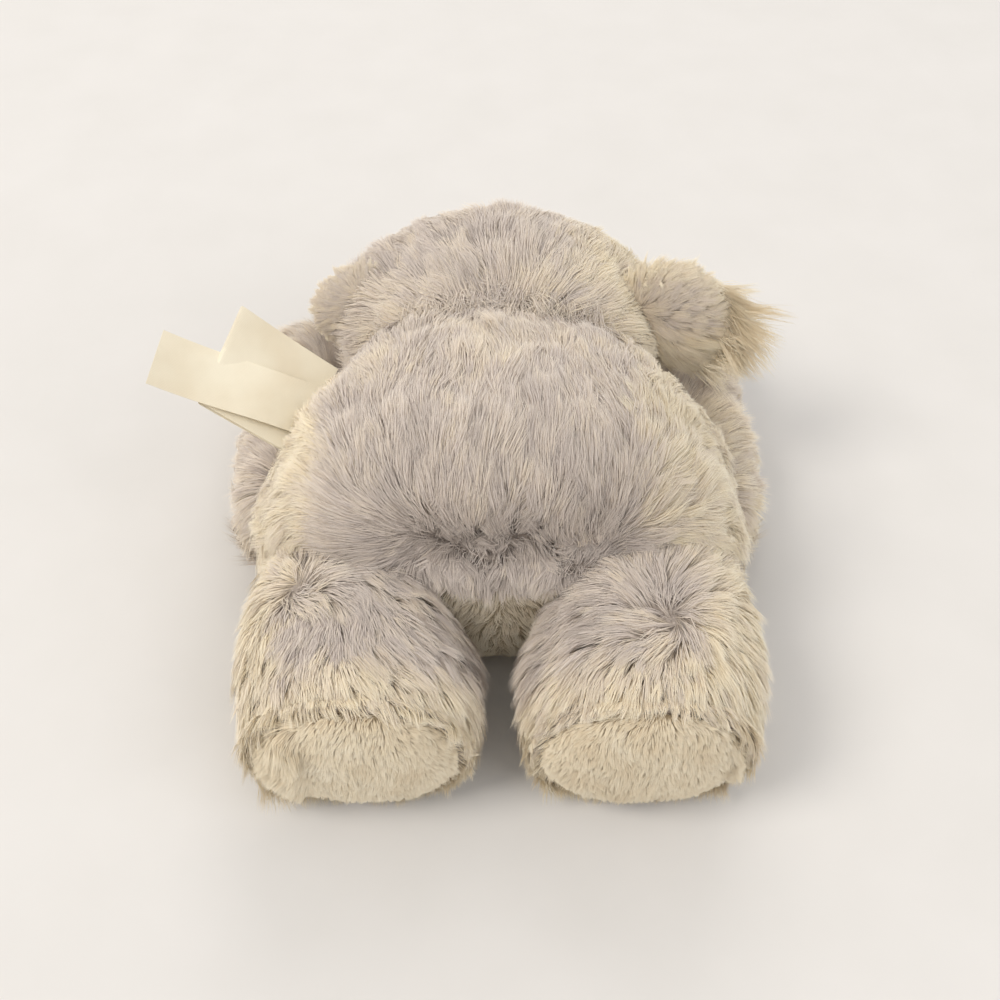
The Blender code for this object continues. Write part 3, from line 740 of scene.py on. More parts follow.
@dataclass
class Coat:
    """One piece's pile: how it is rooted, combed, gathered into locks, and toned."""

    name: str
    finish: Pile
    body: str
    strands: int
    length: float
    comb: Field
    tone: Field
    mask: Field | None = None
    trim: Field | None = None
    tangle: Field | None = None
    width: float = 0.00021
    lift: float = 0.60
    lay: float = 0.12
    droop: float = 0.15
    gather: float = 0.34
    stray: float = 0.12
    lock_stray: float = 0.16
    lock_size: int = 30
    segments: int = 2
    softness: float = 0.75
    tone_stray: float = 0.095
    seed: int = 1
    waves: int = 50

    def grow(self, base: Form, clear_of: Sequence[BVHTree] = ()) -> None:
        """Makes the pile on a form.

        Args:
            base: the form that the strands are rooted in.
            clear_of: forms that hold no roots of it.
        """
        rng = np.random.default_rng(self.seed)
        roots, normals = self._roots(base, rng, clear_of)
        lines, tones = self._lines(roots, normals, rng)
        made = self._ribbons(lines, normals, tones, rng)
        made.data.materials.append(dressed(self.finish))
        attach(made, self.body)
        log.info("%s: %d strands", self.name, len(roots))

    def _roots(
        self, base: Form, rng: np.random.Generator, clear_of: Sequence[BVHTree]
    ) -> tuple[Array, Array]:
        """Random places on the form, as dense as the mask says.

        Args:
            base: the form.
            rng: the piece's random numbers.
            clear_of: forms that hold no roots.

        Returns:
            Points and the surface's normals there.
        """
        base.data.calc_loop_triangles()
        count = len(base.data.loop_triangles)
        corners = np.zeros(count * 3, int)
        base.data.loop_triangles.foreach_get("vertices", corners)
        corners = corners.reshape(-1, 3)
        points = points_of(base)
        # Cut forms have their triangles in an order that differs from run to run.
        rank = np.argsort(np.lexsort(points.T))
        first = rank[corners].argmin(axis=1)[:, None]
        corners = np.take_along_axis(corners, (first + np.arange(3)) % 3, 1)
        corners = corners[np.lexsort(rank[corners].T)]
        a, b, c = (points[corners[:, k]] for k in range(3))
        across = np.cross(b - a, c - a)
        weight = length_of(across) / 2
        if self.mask:
            weight = weight * np.clip(self.mask((a + b + c) / 3, unit(across)), 0, 1)
        picked = rng.choice(count, size=self.strands, p=weight / weight.sum())
        r1, r2 = np.sqrt(rng.random(self.strands)), rng.random(self.strands)
        shares = np.stack([1 - r1, r1 * (1 - r2), r1 * r2], 1)
        roots = np.einsum("nk,nkd->nd", shares, points[corners[picked]])
        normals = points_of(base, "normal")[corners[picked]]
        normals = unit(np.einsum("nk,nkd->nd", shares, normals))
        keep = np.ones(len(roots), bool)
        for tree in clear_of:
            for k, root in enumerate(roots):
                spot, outward = tree.find_nearest(root, ROOT_REACH)[:2]
                if spot is not None and (Vector(root) - spot).dot(outward) < -ROOT_DEPTH:
                    keep[k] = False
        return roots[keep], normals[keep]

    def _lines(
        self, roots: Array, normals: Array, rng: np.random.Generator
    ) -> tuple[Array, Array]:
        """The strands' middle lines, gathered into locks, and their tones.

        Args:
            roots: where they start.
            normals: the surface's normals there.
            rng: the piece's random numbers.

        Returns:
            Points of n by (segments + 1) by 3, and a tone for each strand.
        """
        count = len(roots)
        heads = rng.choice(count, size=max(1, count // self.lock_size), replace=False)
        tree = KDTree(len(heads))
        for k, head in enumerate(heads):
            tree.insert(roots[head], k)
        tree.balance()
        lock = np.array([tree.find(root)[1] for root in roots])

        comb = unit(tangent(self.comb(roots, normals), normals))
        sideways = np.cross(normals, comb)
        tangle = self.tangle(roots, normals) if self.tangle else np.ones(count)
        swing = 0.26 * ripple(roots, 0.016, self.waves) * (0.5 + 0.5 * tangle)
        swing += rng.normal(0, self.lock_stray, len(heads))[lock] * tangle
        swing += rng.normal(0, self.stray, count)
        comb = comb * np.cos(swing)[:, None] + sideways * np.sin(swing)[:, None]

        length = self.length * (1 + 0.10 * ripple(roots, 0.011, self.waves + 10))
        length *= (1 + rng.normal(0, 0.10, len(heads)))[lock]
        length *= 1 - 0.35 * rng.random(count) ** 2
        if self.trim:
            length *= np.clip(self.trim(roots, normals), 0.15, 2.0)
        lift = self.lift * (1 + rng.normal(0, 0.15, len(heads))[lock] + rng.normal(0, 0.12, count))

        line = [roots]
        down = np.array([0, 0, -1.0])
        for k in range(self.segments):
            share = k / (self.segments - 1)
            rise = lift * (1 - share) + self.lay * share
            way = unit(normals * rise[:, None] + comb + down * (self.droop * share))
            line.append(line[-1] + way * (length / self.segments)[:, None])
        lines = np.stack(line, 1)

        gathered = lines.copy()
        for k in range(1, self.segments + 1):
            pull = self.gather * (k / self.segments) ** 1.3 * (0.6 + 0.8 * rng.random(count))
            pull *= 0.55 + 0.45 * tangle
            to = lines[heads][lock][:, k]
            gathered[:, k] += (to - lines[:, k]) * np.clip(pull, 0, 0.92)[:, None]
        gathered[..., 2] = np.maximum(gathered[..., 2], FLOOR_CLEAR)

        tone = self.tone(roots, normals) + rng.normal(0, self.tone_stray, len(heads))[lock]
        tone += rng.normal(0, self.tone_stray * 0.8, count)
        return gathered, np.clip(tone, 0.02, 0.98)

    def _ribbons(
        self, lines: Array, normals: Array, tones: Array, rng: np.random.Generator
    ) -> Form:
        """Thin tapered strips along the lines, with the map that holds tone and length.

        Args:
            lines: the strands' middle lines.
            normals: the surface's normals at their roots.
            tones: the strands' tones.
            rng: the piece's random numbers.

        Returns:
            The piece.
        """
        count, k = len(lines), self.segments
        way = unit(lines[:, -1] - lines[:, 0])
        flat = unit(np.cross(way, normals))
        raised = np.cross(flat, way)
        twist = rng.normal(0, 0.35, count)[:, None]
        edge = flat * np.cos(twist) + raised * np.sin(twist)
        facing = raised * np.cos(twist) - flat * np.sin(twist)
        facing = unit(normals * self.softness + facing * (1 - self.softness))
        thick = self.width * rng.uniform(0.75, 1.2, count)[:, None]
        rows = []
        for stage in range(k):
            half = edge * thick * 0.5 * (1 - 0.35 * stage / k)
            rows += [lines[:, stage] - half, lines[:, stage] + half]
        points = np.stack([*rows, lines[:, -1]], 1)
        points[..., 2] = np.maximum(points[..., 2], FLOOR_CLEAR)

        per = 2 * k + 1
        corner = np.array([2 * s + side for s in range(k - 1) for side in (0, 1, 3, 2)]
                          + [2 * k - 2, 2 * k - 1, 2 * k])
        level = np.append(np.repeat(np.arange(k) / k, 2), 1.0)
        beside = np.append(np.tile([-1.0, 1.0], k), 0.0)
        loop = (np.arange(count)[:, None] * per + corner).ravel()
        starts = (np.arange(count)[:, None] * len(corner) + 4 * np.arange(k)).ravel()

        mesh = bpy.data.meshes.new(self.name)
        mesh.vertices.add(count * per)
        mesh.vertices.foreach_set("co", points.astype(np.float32).ravel())
        mesh.loops.add(len(loop))
        mesh.loops.foreach_set("vertex_index", loop.astype(np.int32))
        mesh.polygons.add(count * k)
        mesh.polygons.foreach_set("loop_start", starts.astype(np.int32))
        mesh.update(calc_edges=True)
        mesh.polygons.foreach_set("use_smooth", np.ones(count * k, bool))
        across = tones[:, None] + 0.006 * beside[corner]
        up = np.broadcast_to(0.01 + 0.98 * level[corner], across.shape)
        layer = mesh.uv_layers.new(name=BAKE_MAP)
        layer.data.foreach_set("uv", np.stack([across, up], 2).astype(np.float32).ravel())
        mesh.normals_split_custom_set_from_vertices(np.repeat(facing, per, axis=0))
        made = bpy.data.objects.new(self.name, mesh)
        bpy.context.scene.collection.objects.link(made)
        return made


def tree_of(obj: Form) -> BVHTree:
    """A search tree over a form's faces, for telling what lies inside it."""
    return BVHTree.FromPolygons(
        [v.co for v in obj.data.vertices], [p.vertices for p in obj.data.polygons]
    )


def gaps_to(tree: BVHTree, points: Array) -> Array:
    """How far points are from the form of a search tree."""
    return np.array([tree.find_nearest(point)[3] for point in points])


# ---------------------------------------------------------------- dressing


def dress(obj: Form, finish: Surface | Gloss | Satin, body: str, *stands_for: str) -> None:
    """Gives a piece its finish and its body, and hides the model's nodes that it stands for.

    Args:
        obj: the piece.
        finish: its cloth or plastic.
        body: the body it rides on.
        stands_for: the model's nodes that it replaces.
    """
    obj.data.materials.append(dressed(finish))
    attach(obj, body)
    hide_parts(*stands_for)
    log.info("%s: %d faces on %s", obj.name, len(obj.data.polygons), body)


def smooth(obj: Form, degrees: float = 50.0) -> None:
    """Shades an object smooth but for edges sharper than an angle."""
    only(obj)
    bpy.ops.object.shade_smooth_by_angle(angle=math.radians(degrees))


def as_cover(obj: Form, finish: Surface, body: str, fill: float, *stands_for: str) -> None:
    """Dresses a stuffed form.

    Args:
        obj: the form.
        finish: its cloth.
        body: the body it rides on.
        fill: how full it is, from 0 to 1; not used.
        stands_for: the model's nodes that it replaces.
    """
    smooth(obj)
    dress(obj, finish, body, *stands_for)


def cover_limb(whole: Form, past: Form, body: str, fill: float, strands: int, seed: int) -> None:
    """Makes a limb's cover, with short pile where it lies on the torso and shows when it swings.

    Args:
        whole: the limb's closed form.
        past: the torso's form, grown, which the limb stays clear of.
        body: the limb's body.
        fill: how full it is, from 0 to 1.
        strands: how many strands the short pile has.
        seed: its random numbers.
    """
    cover = copied(whole, f"{body}_cover")
    cut_clear(cover, past)
    as_cover(cover, GREY_BACKING, body, fill, body, f"{body}_stuffing")
    tree = tree_of(past)
    Coat(
        f"{body}_root_pile", GREY_PILE, body, strands, 0.0052,
        lambda p, n: p - p.mean(axis=0),
        lambda p, n: 0.44 + 0.06 * ripple(p, 0.015, 60),
        mask=lambda p, n: (gaps_to(tree, p) < 0.0004).astype(float),
        lift=0.45, lay=0.1, gather=0.4, seed=seed,
    ).grow(cover)


# ---------------------------------------------------------------- torso


@dataclass
class Torso:
    """The domed torso: a grey back over a cream belly, with its filling and bag of pellets.

    Each row of shares is a slice: its height, and its reach across, ahead and behind.
    """

    half_width: float = 0.070
    height: float = 0.086
    front: float = 0.050
    rear: float = 0.033
    widest_y: float = -0.003
    crest_y: float = 0.008
    squareness: float = 2.5
    shares: Table = (
        (0.00, 0.00, 0.00, 0.00),
        (0.00, 0.60, 0.56, 0.58),
        (0.04, 0.80, 0.78, 0.78),
        (0.13, 0.94, 0.92, 0.92),
        (0.28, 1.00, 1.00, 0.99),
        (0.45, 0.97, 1.00, 1.00),
        (0.60, 0.89, 1.00, 0.98),
        (0.73, 0.79, 0.97, 0.90),
        (0.84, 0.66, 0.88, 0.75),
        (0.93, 0.46, 0.66, 0.52),
        (0.98, 0.24, 0.36, 0.28),
        (1.00, 0.00, 0.00, 0.00),
    )
    crest_share: float = 0.3
    seam_height: float = 0.041
    seam_tilt: float = math.radians(18)
    seam_gap: float = 0.0002
    parting: tuple[XYZ, XYZ] = ((-0.022, -0.031, 0.060), (0.030, -0.032, 0.058))
    parting_depth: float = 0.0022
    parting_width: float = 0.006
    lump: float = 0.0007
    bag_half: XYZ = (0.034, 0.0145, 0.010)
    bag_height: float = 0.0119
    bag_room: float = 0.0006
    neck_radius: float = 0.0205
    label_half: float = 0.0150
    back_strands: int = 58000
    back_length: float = 0.0125
    belly_strands: int = 52000
    belly_length: float = 0.0130

    def form(self, name: str, grow: float = 0.0) -> Form:
        """The whole torso as one closed form.

        Args:
            name: the form's name.
            grow: how far it is moved out.

        Returns:
            The form.
        """

        def shape(along: Array, turn: Array) -> Array:
            """Points of the dome for shares from pole to pole and angles round it."""
            rows = table_at(self.shares, along)
            across, ahead = ring_at(turn, self.squareness)
            reach = np.where(
                ahead > 0,
                (self.front - self.widest_y) * rows[:, 2],
                (self.rear + self.widest_y) * rows[:, 3],
            )
            spread = np.clip(rows[:, 1] / self.crest_share, 0, 1)
            middle = self.crest_y + (self.widest_y - self.crest_y) * spread
            x = (self.half_width * rows[:, 1] + grow * spread) * across
            y = middle + (reach + grow * spread) * ahead
            z = np.clip(rows[:, 0], 0, 1) * (self.height + 2 * grow) - grow
            return np.stack([x, y, z], 1)

        made = sphere_form(name, shape, 96, 64)
        points = points_of(made)
        groove = length_of(near_line(points, *self.parting)) / self.parting_width
        lumps = self.lump * ripple(points, 0.035, 5) * step(points[:, 2], 0.002, 0.02)
        push_out(made, lumps - self.parting_depth * np.exp(-(groove**2)))
        return made

    def seam(self) -> tuple[Vector, Vector]:
        """A point of the side seam's plane, and the direction across it, upwards."""
        across = Vector((0, -math.sin(self.seam_tilt), math.cos(self.seam_tilt)))
        return Vector((0, -self.rear, self.seam_height)), across

    def above_seam(self, points: Array) -> Array:
        """How far points lie above the side seam's plane."""
        point, across = self.seam()
        return (points - np.array(point)) @ np.array(across)

    def bag_form(self, name: str, grow: float = 0.0) -> Form:
        """The bag's shape: a pad with drawn-in corners.

        Args:
            name: the form's name.
            grow: how far it is moved out.

        Returns:
            The form.
        """

        def shape(along: Array, turn: Array) -> Array:
            """Points of the pad."""
            across, ahead = ring_at(turn, 2.6)
            level = np.cos((along - 0.5) * math.pi) ** 0.8
            lift = np.sin((along - 0.5) * math.pi)
            half = np.array(self.bag_half) + grow
            middle = np.array((0.0, self.widest_y, self.bag_height))
            return middle + np.stack([level * across, level * ahead, lift], 1) * half

        return sphere_form(name, shape, 48, 24)

    def build(self) -> None:
        """Makes the covers, their pile and what is inside them."""
        whole = self.form("torso whole")
        point, across = self.seam()
        gap = across * self.seam_gap
        back = copied(whole, "back_cover")
        cut_flat(back, point + gap, across)
        as_cover(back, GREY_BACKING, "torso", 0.85, "torso_skin", "torso_stuffing")
        belly = copied(whole, "belly_cover")
        cut_flat(belly, point - gap, -across)
        room = self.bag_form("room for the bag", self.bag_room)
        cut_clear(belly, room)
        as_cover(belly, CREAM_BACKING, "torso", 0.8, "belly_panel")
        as_cover(self.bag_form("pellet_bag_cloth"), BAG_CLOTH, "torso", 0.5, "pellet_bag")
        self._neck()
        self._back_pile(whole)
        self._belly_pile(whole)
        discard(room, whole)

    def _neck(self) -> None:
        """The plug of filling that the head turns on."""
        middle = joint_named("head_nod")[0]

        def shape(along: Array, turn: Array) -> Array:
            """Points of a slightly lumpy ball."""
            ways = ball_at(along, turn)
            radius = self.neck_radius * (1 - 0.03 * (1 + ripple(ways, 1.1, 9)))
            return middle + ways * radius[:, None]

        as_cover(sphere_form("neck_filling", shape, 40, 24), FILLING, "neck", 0.7, "neck_plug")

    def _back_pile(self, whole: Form) -> None:
        """The long grey pile of the back, parted over the rump.

        Args:
            whole: the torso's form.
        """
        root, along = joint_named("care_label_flip")
        ends = (root - self.label_half * along, root + self.label_half * along)

        def from_parting(points: Array) -> Array:
            """Vectors from the parting, which wanders, to points."""
            return near_line(wandering(points, {0: 0.0030, 2: 0.0034}, 0.022, 90), *self.parting)

        def comb(points: Array, normals: Array) -> Array:
            """Away from the parting, and down at the flanks."""
            away = unit(from_parting(points))
            side = step(np.abs(points[:, 0]), 0.035, 0.062)
            away[:, 2] -= 0.9 * side
            away[:, 1] -= 0.25 * side
            return away

        def tone(points: Array, normals: Array) -> Array:
            """Mid grey, darker in the crease as painted shade, paler at the crown as painted
            highlight, and cream at the flanks.
            """
            # Painted shade: strands in the parting's crease are darkened where shade falls.
            crease = fade(length_of(from_parting(points)), 0.001, 0.011)
            # Painted highlight: the crown of the back, lit from above, is paler.
            top = step(points[:, 2], 0.068, 0.086) * step(points[:, 1], -0.012, 0.030)
            top *= 1 - 0.8 * step(points[:, 1], 0.028, 0.042)
            flank = np.where(points[:, 0] > 0, 0.0365, 0.0450) + 0.002 * ripple(points, 0.012, 95)
            side = step(np.abs(points[:, 0]) - flank, -0.003, 0.004)
            # Painted light and shade: soft light and dark patches where the fur's lay catches the
            # light.
            cloud = 0.06 * ripple(points, 0.020, 96)
            cloud += (0.04 + 0.08 * side) * ripple(points, 0.007, 97)
            return 0.38 + cloud + 0.22 * top * (1 - side) - 0.20 * crease + 0.52 * side

        def trim(points: Array, normals: Array) -> Array:
            """Shorter by the parting and low behind, longer over the neck and at the flanks."""
            rump = fade(np.abs(points[:, 0]), 0.036, 0.050)
            below = step(0.058 - points[:, 2], 0.0, 0.006) * rump
            neck = step(points[:, 1], 0.026, 0.040) * step(points[:, 2], 0.045, 0.065)
            flank = step(np.abs(points[:, 0]), 0.046, 0.060)
            label = 0.45 + 0.55 * step(length_of(near_line(points, *ends)), 0.003, 0.011)
            left = step(-points[:, 0], -0.004, 0.018)
            longer = (1 + (0.25 + 0.45 * left) * neck + 0.15 * flank) * label
            parting = 0.70 + 0.30 * step(length_of(from_parting(points)), 0.0, 0.016)
            return parting * longer * (1 - 0.28 * below)

        def mask(points: Array, normals: Array) -> Array:
            """Above the seam, and higher behind the rump, but not where the head hides it."""
            middle = fade(np.abs(points[:, 0]), 0.028, 0.048)
            edge = self.above_seam(points) - 0.0080 * middle * step(-points[:, 1], 0.015, 0.030)
            return step(edge, -0.0012, 0.0) * step(-points[:, 1], -0.052, -0.044)

        def tangle(points: Array, normals: Array) -> Array:
            """More by the parting and at the right flank."""
            parting = fade(length_of(from_parting(points)), 0.002, 0.014)
            flank = step(points[:, 0], 0.024, 0.044) + 0.7 * step(-points[:, 0], 0.040, 0.056)
            return 0.65 + 1.5 * parting + 1.4 * flank

        for layer, seed in (("outer", 11), ("inner", 12)):
            Coat(
                f"back_pile_{layer}", GREY_PILE, "torso", self.back_strands, self.back_length,
                comb, tone, mask, trim, tangle, lift=0.62, lay=0.10, droop=0.12, seed=seed,
            ).grow(whole)

    def _belly_pile(self, whole: Form) -> None:
        """The cream pile of the belly and flanks.

        Args:
            whole: the torso's form.
        """

        def comb(points: Array, normals: Array) -> Array:
            """Outwards and down."""
            x, y, z = points.T
            return np.stack([np.sign(x) * 0.5, y * 4 - 0.2, 0 * z - 0.8], 1)

        def tone(points: Array, normals: Array) -> Array:
            """Cream, palest between the legs as painted light, and dusky underneath as painted
            shade.
            """
            # Painted shade: the pile is darker low down, near the floor, where shade falls.
            under = fade(points[:, 2], 0.002, 0.010)
            # Painted light: paler between the legs, to offset the shade that the legs cast there.
            between = fade(np.abs(points[:, 0]), 0.022, 0.034)
            return 0.70 - 0.20 * under + 0.24 * between + 0.08 * ripple(points, 0.02, 3)

        def mask(points: Array, normals: Array) -> Array:
            """Below the seam and above the flat of the belly."""
            below = step(0.007 - self.above_seam(points), 0.0, 0.0015)
            return below * step(points[:, 2], 0.0002, 0.003)

        def trim(points: Array, normals: Array) -> Array:
            """Shorter low down and between the legs."""
            low = 0.55 + 0.45 * step(points[:, 2], 0.004, 0.03)
            return low * (0.42 + 0.58 * step(np.abs(points[:, 0]), 0.026, 0.046))

        Coat(
            "belly_pile", CREAM_PILE, "torso", self.belly_strands, self.belly_length, comb, tone,
            mask, trim, droop=0.25, lock_stray=0.24, gather=0.45, seed=13,
        ).grow(whole)


# ---------------------------------------------------------------- head


@dataclass
class Head:
    """The round head: cover, pile, ears and face, in its own turned frame.

    Each row of shares is a slice: its height, and its reach across and ahead.
    """

    centre: XYZ = (0.0010, 0.074, 0.0430)
    yaw: float = math.radians(-3)
    roll: float = math.radians(1)
    half: XYZ = (0.050, 0.037, 0.0385)
    squareness: float = 2.3
    shares: Table = (
        (0.00, 0.00, 0.00),
        (0.01, 0.30, 0.32),
        (0.04, 0.48, 0.50),
        (0.11, 0.72, 0.74),
        (0.25, 0.92, 0.93),
        (0.44, 1.00, 1.00),
        (0.62, 0.98, 0.99),
        (0.78, 0.85, 0.88),
        (0.90, 0.62, 0.66),
        (0.97, 0.34, 0.37),
        (1.00, 0.00, 0.00),
    )
    neck_margin: float = 0.0044
    crown: XYZ = (0.003, 0.036, 0.068)
    strands: int = 50000
    length: float = 0.0120
    fringe_strands: int = 7000
    fringe_length: float = 0.0115
    muzzle_centre: XYZ = (0.0, 0.028, -0.012)
    muzzle_half: XYZ = (0.020, 0.017, 0.015)
    muzzle_gap: float = 0.0003
    muzzle_strands: int = 14000
    muzzle_length: float = 0.0060
    nose_half: XYZ = (0.0080, 0.0050, 0.0110)
    nose_height: float = -0.0050
    nose_out: float = 0.0010
    nostril: XYZ = (0.0034, 0.0011, 0.0058)
    nostril_half: tuple[float, float] = (0.0016, 0.0012)
    eye_radius: float = 0.0050
    eye_dome: float = 0.0037
    eye_back: float = 0.0010
    eye_out: float = 0.0004
    eye_spread: float = math.radians(32)
    eye_raise: float = math.radians(10)

    @property
    def place(self) -> Matrix:
        """The head's frame in the model's frame."""
        turned = Matrix.Rotation(self.yaw, 4, "Z") @ Matrix.Rotation(self.roll, 4, "Y")
        return Matrix.Translation(self.centre) @ turned

    def to_frame(self, points: Array) -> Array:
        """Points of the head's own frame in the model's frame."""
        place = np.array(self.place)
        return points @ place[:3, :3].T + place[:3, 3]

    def in_head(self, points: Array) -> Array:
        """Points of the model's frame in the head's own frame."""
        place = np.array(self.place)
        return (points - place[:3, 3]) @ place[:3, :3]

    def form(self, name: str) -> Form:
        """The head as one closed form.

        Args:
            name: the form's name.

        Returns:
            The form.
        """

        def shape(along: Array, turn: Array) -> Array:
            """Points of the head in the model's frame."""
            rows = table_at(self.shares, along)
            across, ahead = ring_at(turn, self.squareness)
            up = 2 * np.clip(rows[:, 0], 0, 1) - 1
            own = np.stack([rows[:, 1] * across, rows[:, 2] * ahead, up], 1)
            return self.to_frame(own * np.array(self.half))

        return sphere_form(name, shape, 96, 64)

    def build(self, torso: Torso) -> None:
        """Makes the head's cover, pile, face and ears.

        Args:
            torso: the torso, which the head stays clear of.
        """
        whole = self.form("head whole")
        cover = copied(whole, "head_cover")
        past = torso.form("torso past the head", self.neck_margin)
        cut_clear(cover, past)
        as_cover(cover, GREY_BACKING, "head", 0.85, "head_skin", "head_stuffing")
        behind = tree_of(past)
        self._pile(whole, behind)
        bare = torso.form("torso behind the head")
        self._fringe("neck_pile", "torso", bare, tree_of(whole), 1.0, 15)
        self._fringe("nape_pile", "head", whole, behind, -1.0, 25)
        discard(past, bare)
        self._muzzle(whole)
        self._nose()
        for side in Side:
            self._eye(whole, side)
        for side in Side:
            Ear(side).build(self, whole)
        discard(whole)

    def eye_spot(self, whole: Form, side: Side) -> tuple[Vector, Vector]:
        """Where an eye sits on the head.

        Args:
            whole: the head's form.
            side: which eye.

        Returns:
            The place and the outward normal, in the model's frame.
        """
        level = math.cos(self.eye_raise)
        across = side.value * math.sin(self.eye_spread) * level
        way = Vector((across, math.cos(self.eye_spread) * level, math.sin(self.eye_raise)))
        place = self.place
        return tree_of(whole).ray_cast(place.translation, place.to_3x3() @ way)[:2]

    def _pile(self, whole: Form, behind: BVHTree) -> None:
        """The head's grey pile, paler on the cheeks and short round the face.

        Args:
            whole: the head's form.
            behind: the torso's form, which holds no roots.
        """
        eyes = [np.array(self.eye_spot(whole, side)[0]) for side in Side]
        half = np.array(self.muzzle_half)
        ear_foot = joint_named("ear_left_fold")[0]

        def face_gap(points: Array) -> tuple[Array, Array]:
            """How far points are from the eyes and from the muzzle's edge."""
            eye = np.min([length_of(points - place) for place in eyes], axis=0)
            own = self.in_head(points)
            inside = length_of((own - np.array(self.muzzle_centre)) / half) - 1
            return eye, np.where(own[:, 1] > 0, inside * half.min(), 1.0)

        def comb(points: Array, normals: Array) -> Array:
            """Away from the crown, over the brow and down the face, and out at the cheeks."""
            away = unit(points - np.array(self.crown))
            own = self.in_head(points)
            front = step(own[:, 1], 0.010, 0.026)
            away[:, 0] += 0.9 * front * np.clip(own[:, 0] / 0.03, -1, 1)
            away[:, 2] -= 0.5 * front
            return away

        def tone(points: Array, normals: Array) -> Array:
            """Grey on top, cream at the cheeks, the chin, the rim and towards the right ear."""
            x, y, z = self.in_head(points).T
            low, rim = fade(z, -0.024, -0.004), step(y, 0.006, 0.022)
            right = step(x, 0.012, 0.032) * step(z, -0.012, 0.012)
            nape = fade(y, -0.026, -0.006) * step(z, -0.004, 0.016)
            cream = np.max([0.46 * low, 0.12 * rim + 0.52 * right, 0.16 * nape], axis=0)
            return 0.40 + cream + 0.06 * ripple(points, 0.018, 8) + 0.04 * ripple(points, 0.007, 9)

        def mask(points: Array, normals: Array) -> Array:
            """No roots under the eyes and the muzzle, fewer on the underside."""
            eye, edge = face_gap(points)
            low = 0.35 + 0.65 * step(points[:, 2], 0.004, 0.012)
            return step(eye, 0.0046, 0.0052) * step(edge, 0.0, 0.001) * low

        def trim(points: Array, normals: Array) -> Array:
            """Short near the eyes and the muzzle, with a tuft on top and more by the left ear."""
            eye, edge = face_gap(points)
            x, y, z = self.in_head(points).T
            near = np.minimum(step(eye, 0.003, 0.013), 0.25 + 0.75 * step(edge, 0.0, 0.010))
            tuft = np.exp(-((x / 0.0085) ** 2))
            ear = fade(length_of(points - ear_foot), 0.008, 0.022)
            nape = fade(y, -0.030, -0.012)
            top = step(z, 0.016, 0.030) * (0.14 - 0.34 * tuft) * (1 - nape)
            shape = 1 - top + 0.55 * ear + 0.22 * nape
            return shape * (1 - 0.32 * step(y, 0.008, 0.026)) * (0.32 + 0.68 * near)

        for layer, seed in (("outer", 21), ("inner", 22)):
            Coat(
                f"head_pile_{layer}", GREY_PILE, "head", self.strands, self.length, comb, tone,
                mask, trim, lay=0.10, seed=seed,
            ).grow(whole, [behind])

    def _fringe(
        self, name: str, body: str, base: Form, other: BVHTree, ahead: float, seed: int
    ) -> None:
        """Upright hair at one side of the neck's crease, which hides the crease.

        Args:
            name: the piece's name.
            body: the body it rides on.
            base: the form that it grows on.
            other: the form across the crease.
            ahead: 1 to comb it forwards, -1 to comb it backwards.
            seed: which random numbers.
        """

        def mask(points: Array, normals: Array) -> Array:
            """1 beside the crease, above the shoulders."""
            return fade(gaps_to(other, points), 0.004, 0.012) * step(points[:, 2], 0.040, 0.055)

        Coat(
            name, GREY_PILE, body, self.fringe_strands, self.fringe_length,
            lambda p, n: np.array((0, ahead, 0.3)) + 0 * p,
            lambda p, n: 0.50 + 0.06 * ripple(p, 0.018, 8),
            mask=mask, lift=1.1, lay=0.45, stray=0.7, gather=0.28, seed=seed,
        ).grow(base, [other])

    def _nose_middle(self) -> Array:
        """The nose's middle, on the muzzle's front, in the head's frame."""
        up = (self.nose_height - self.muzzle_centre[2]) / self.muzzle_half[2]
        front = self.muzzle_centre[1] + self.muzzle_half[1] * math.sqrt(1 - up**2)
        return np.array((0.0, front + self.nose_out, self.nose_height))

    def _muzzle(self, whole: Form) -> None:
        """The muzzle's cream pad and its short pile, which leaves the nose free.

        Args:
            whole: the head's form.
        """

        def shape(along: Array, turn: Array) -> Array:
            """Points of the muzzle's rounded pad."""
            own = ball_at(along, turn) * np.array(self.muzzle_half)
            return self.to_frame(np.array(self.muzzle_centre) + own)

        def near_nose(points: Array) -> Array:
            """How far points are outside the nose's outline, in radii."""
            own = (self.in_head(points) - self._nose_middle()) / np.array(self.nose_half)
            own[:, 1] *= 0.4
            return length_of(own)

        full = sphere_form("muzzle whole", shape, 48, 32)
        muzzle = copied(full, "muzzle_cover")
        grown = copied(whole, "head under the muzzle")
        push_out(grown, self.muzzle_gap)
        cut_clear(muzzle, grown)
        as_cover(muzzle, CREAM_BACKING, "head", 0.8, "muzzle_panel")
        nose = self.to_frame(self._nose_middle()[None])[0]
        Coat(
            "muzzle_pile", CREAM_PILE, "head", self.muzzle_strands, self.muzzle_length,
            lambda p, n: unit(p - nose) + np.array((0, 0, -0.25)),
            lambda p, n: 0.78 + 0.10 * ripple(p, 0.01, 4),
            mask=lambda p, n: step(near_nose(p), 0.90, 1.0),
            trim=lambda p, n: 0.45 + 0.55 * step(near_nose(p), 1.0, 2.2),
            width=0.00026, lift=0.75, lay=0.25, droop=0.05, seed=31,
        ).grow(full, [tree_of(grown)])
        discard(grown, full)

    def _nose(self) -> None:
        """The nose, pinned to the muzzle."""
        x, deep, z = self.nostril

        def shape(along: Array, turn: Array) -> Array:
            """Points of the nose: a tall oval, fuller below, with two nostrils."""
            ways = ball_at(along, turn)
            own = ways * np.array(self.nose_half)
            own[:, 0] *= 1 - 0.16 * ways[:, 2]
            for side in Side:
                across = (own[:, 0] - side.value * x) / self.nostril_half[0]
                off = np.hypot(across, (own[:, 2] + z) / self.nostril_half[1])
                own[:, 1] -= deep * np.exp(-(off**2)) * (own[:, 1] > 0)
            return self.to_frame(own + self._nose_middle())

        nose = sphere_form("nose_button", shape, 96, 72)
        smooth(nose, 80)
        dress(nose, NOSE_GLOSS, "head", "nose")

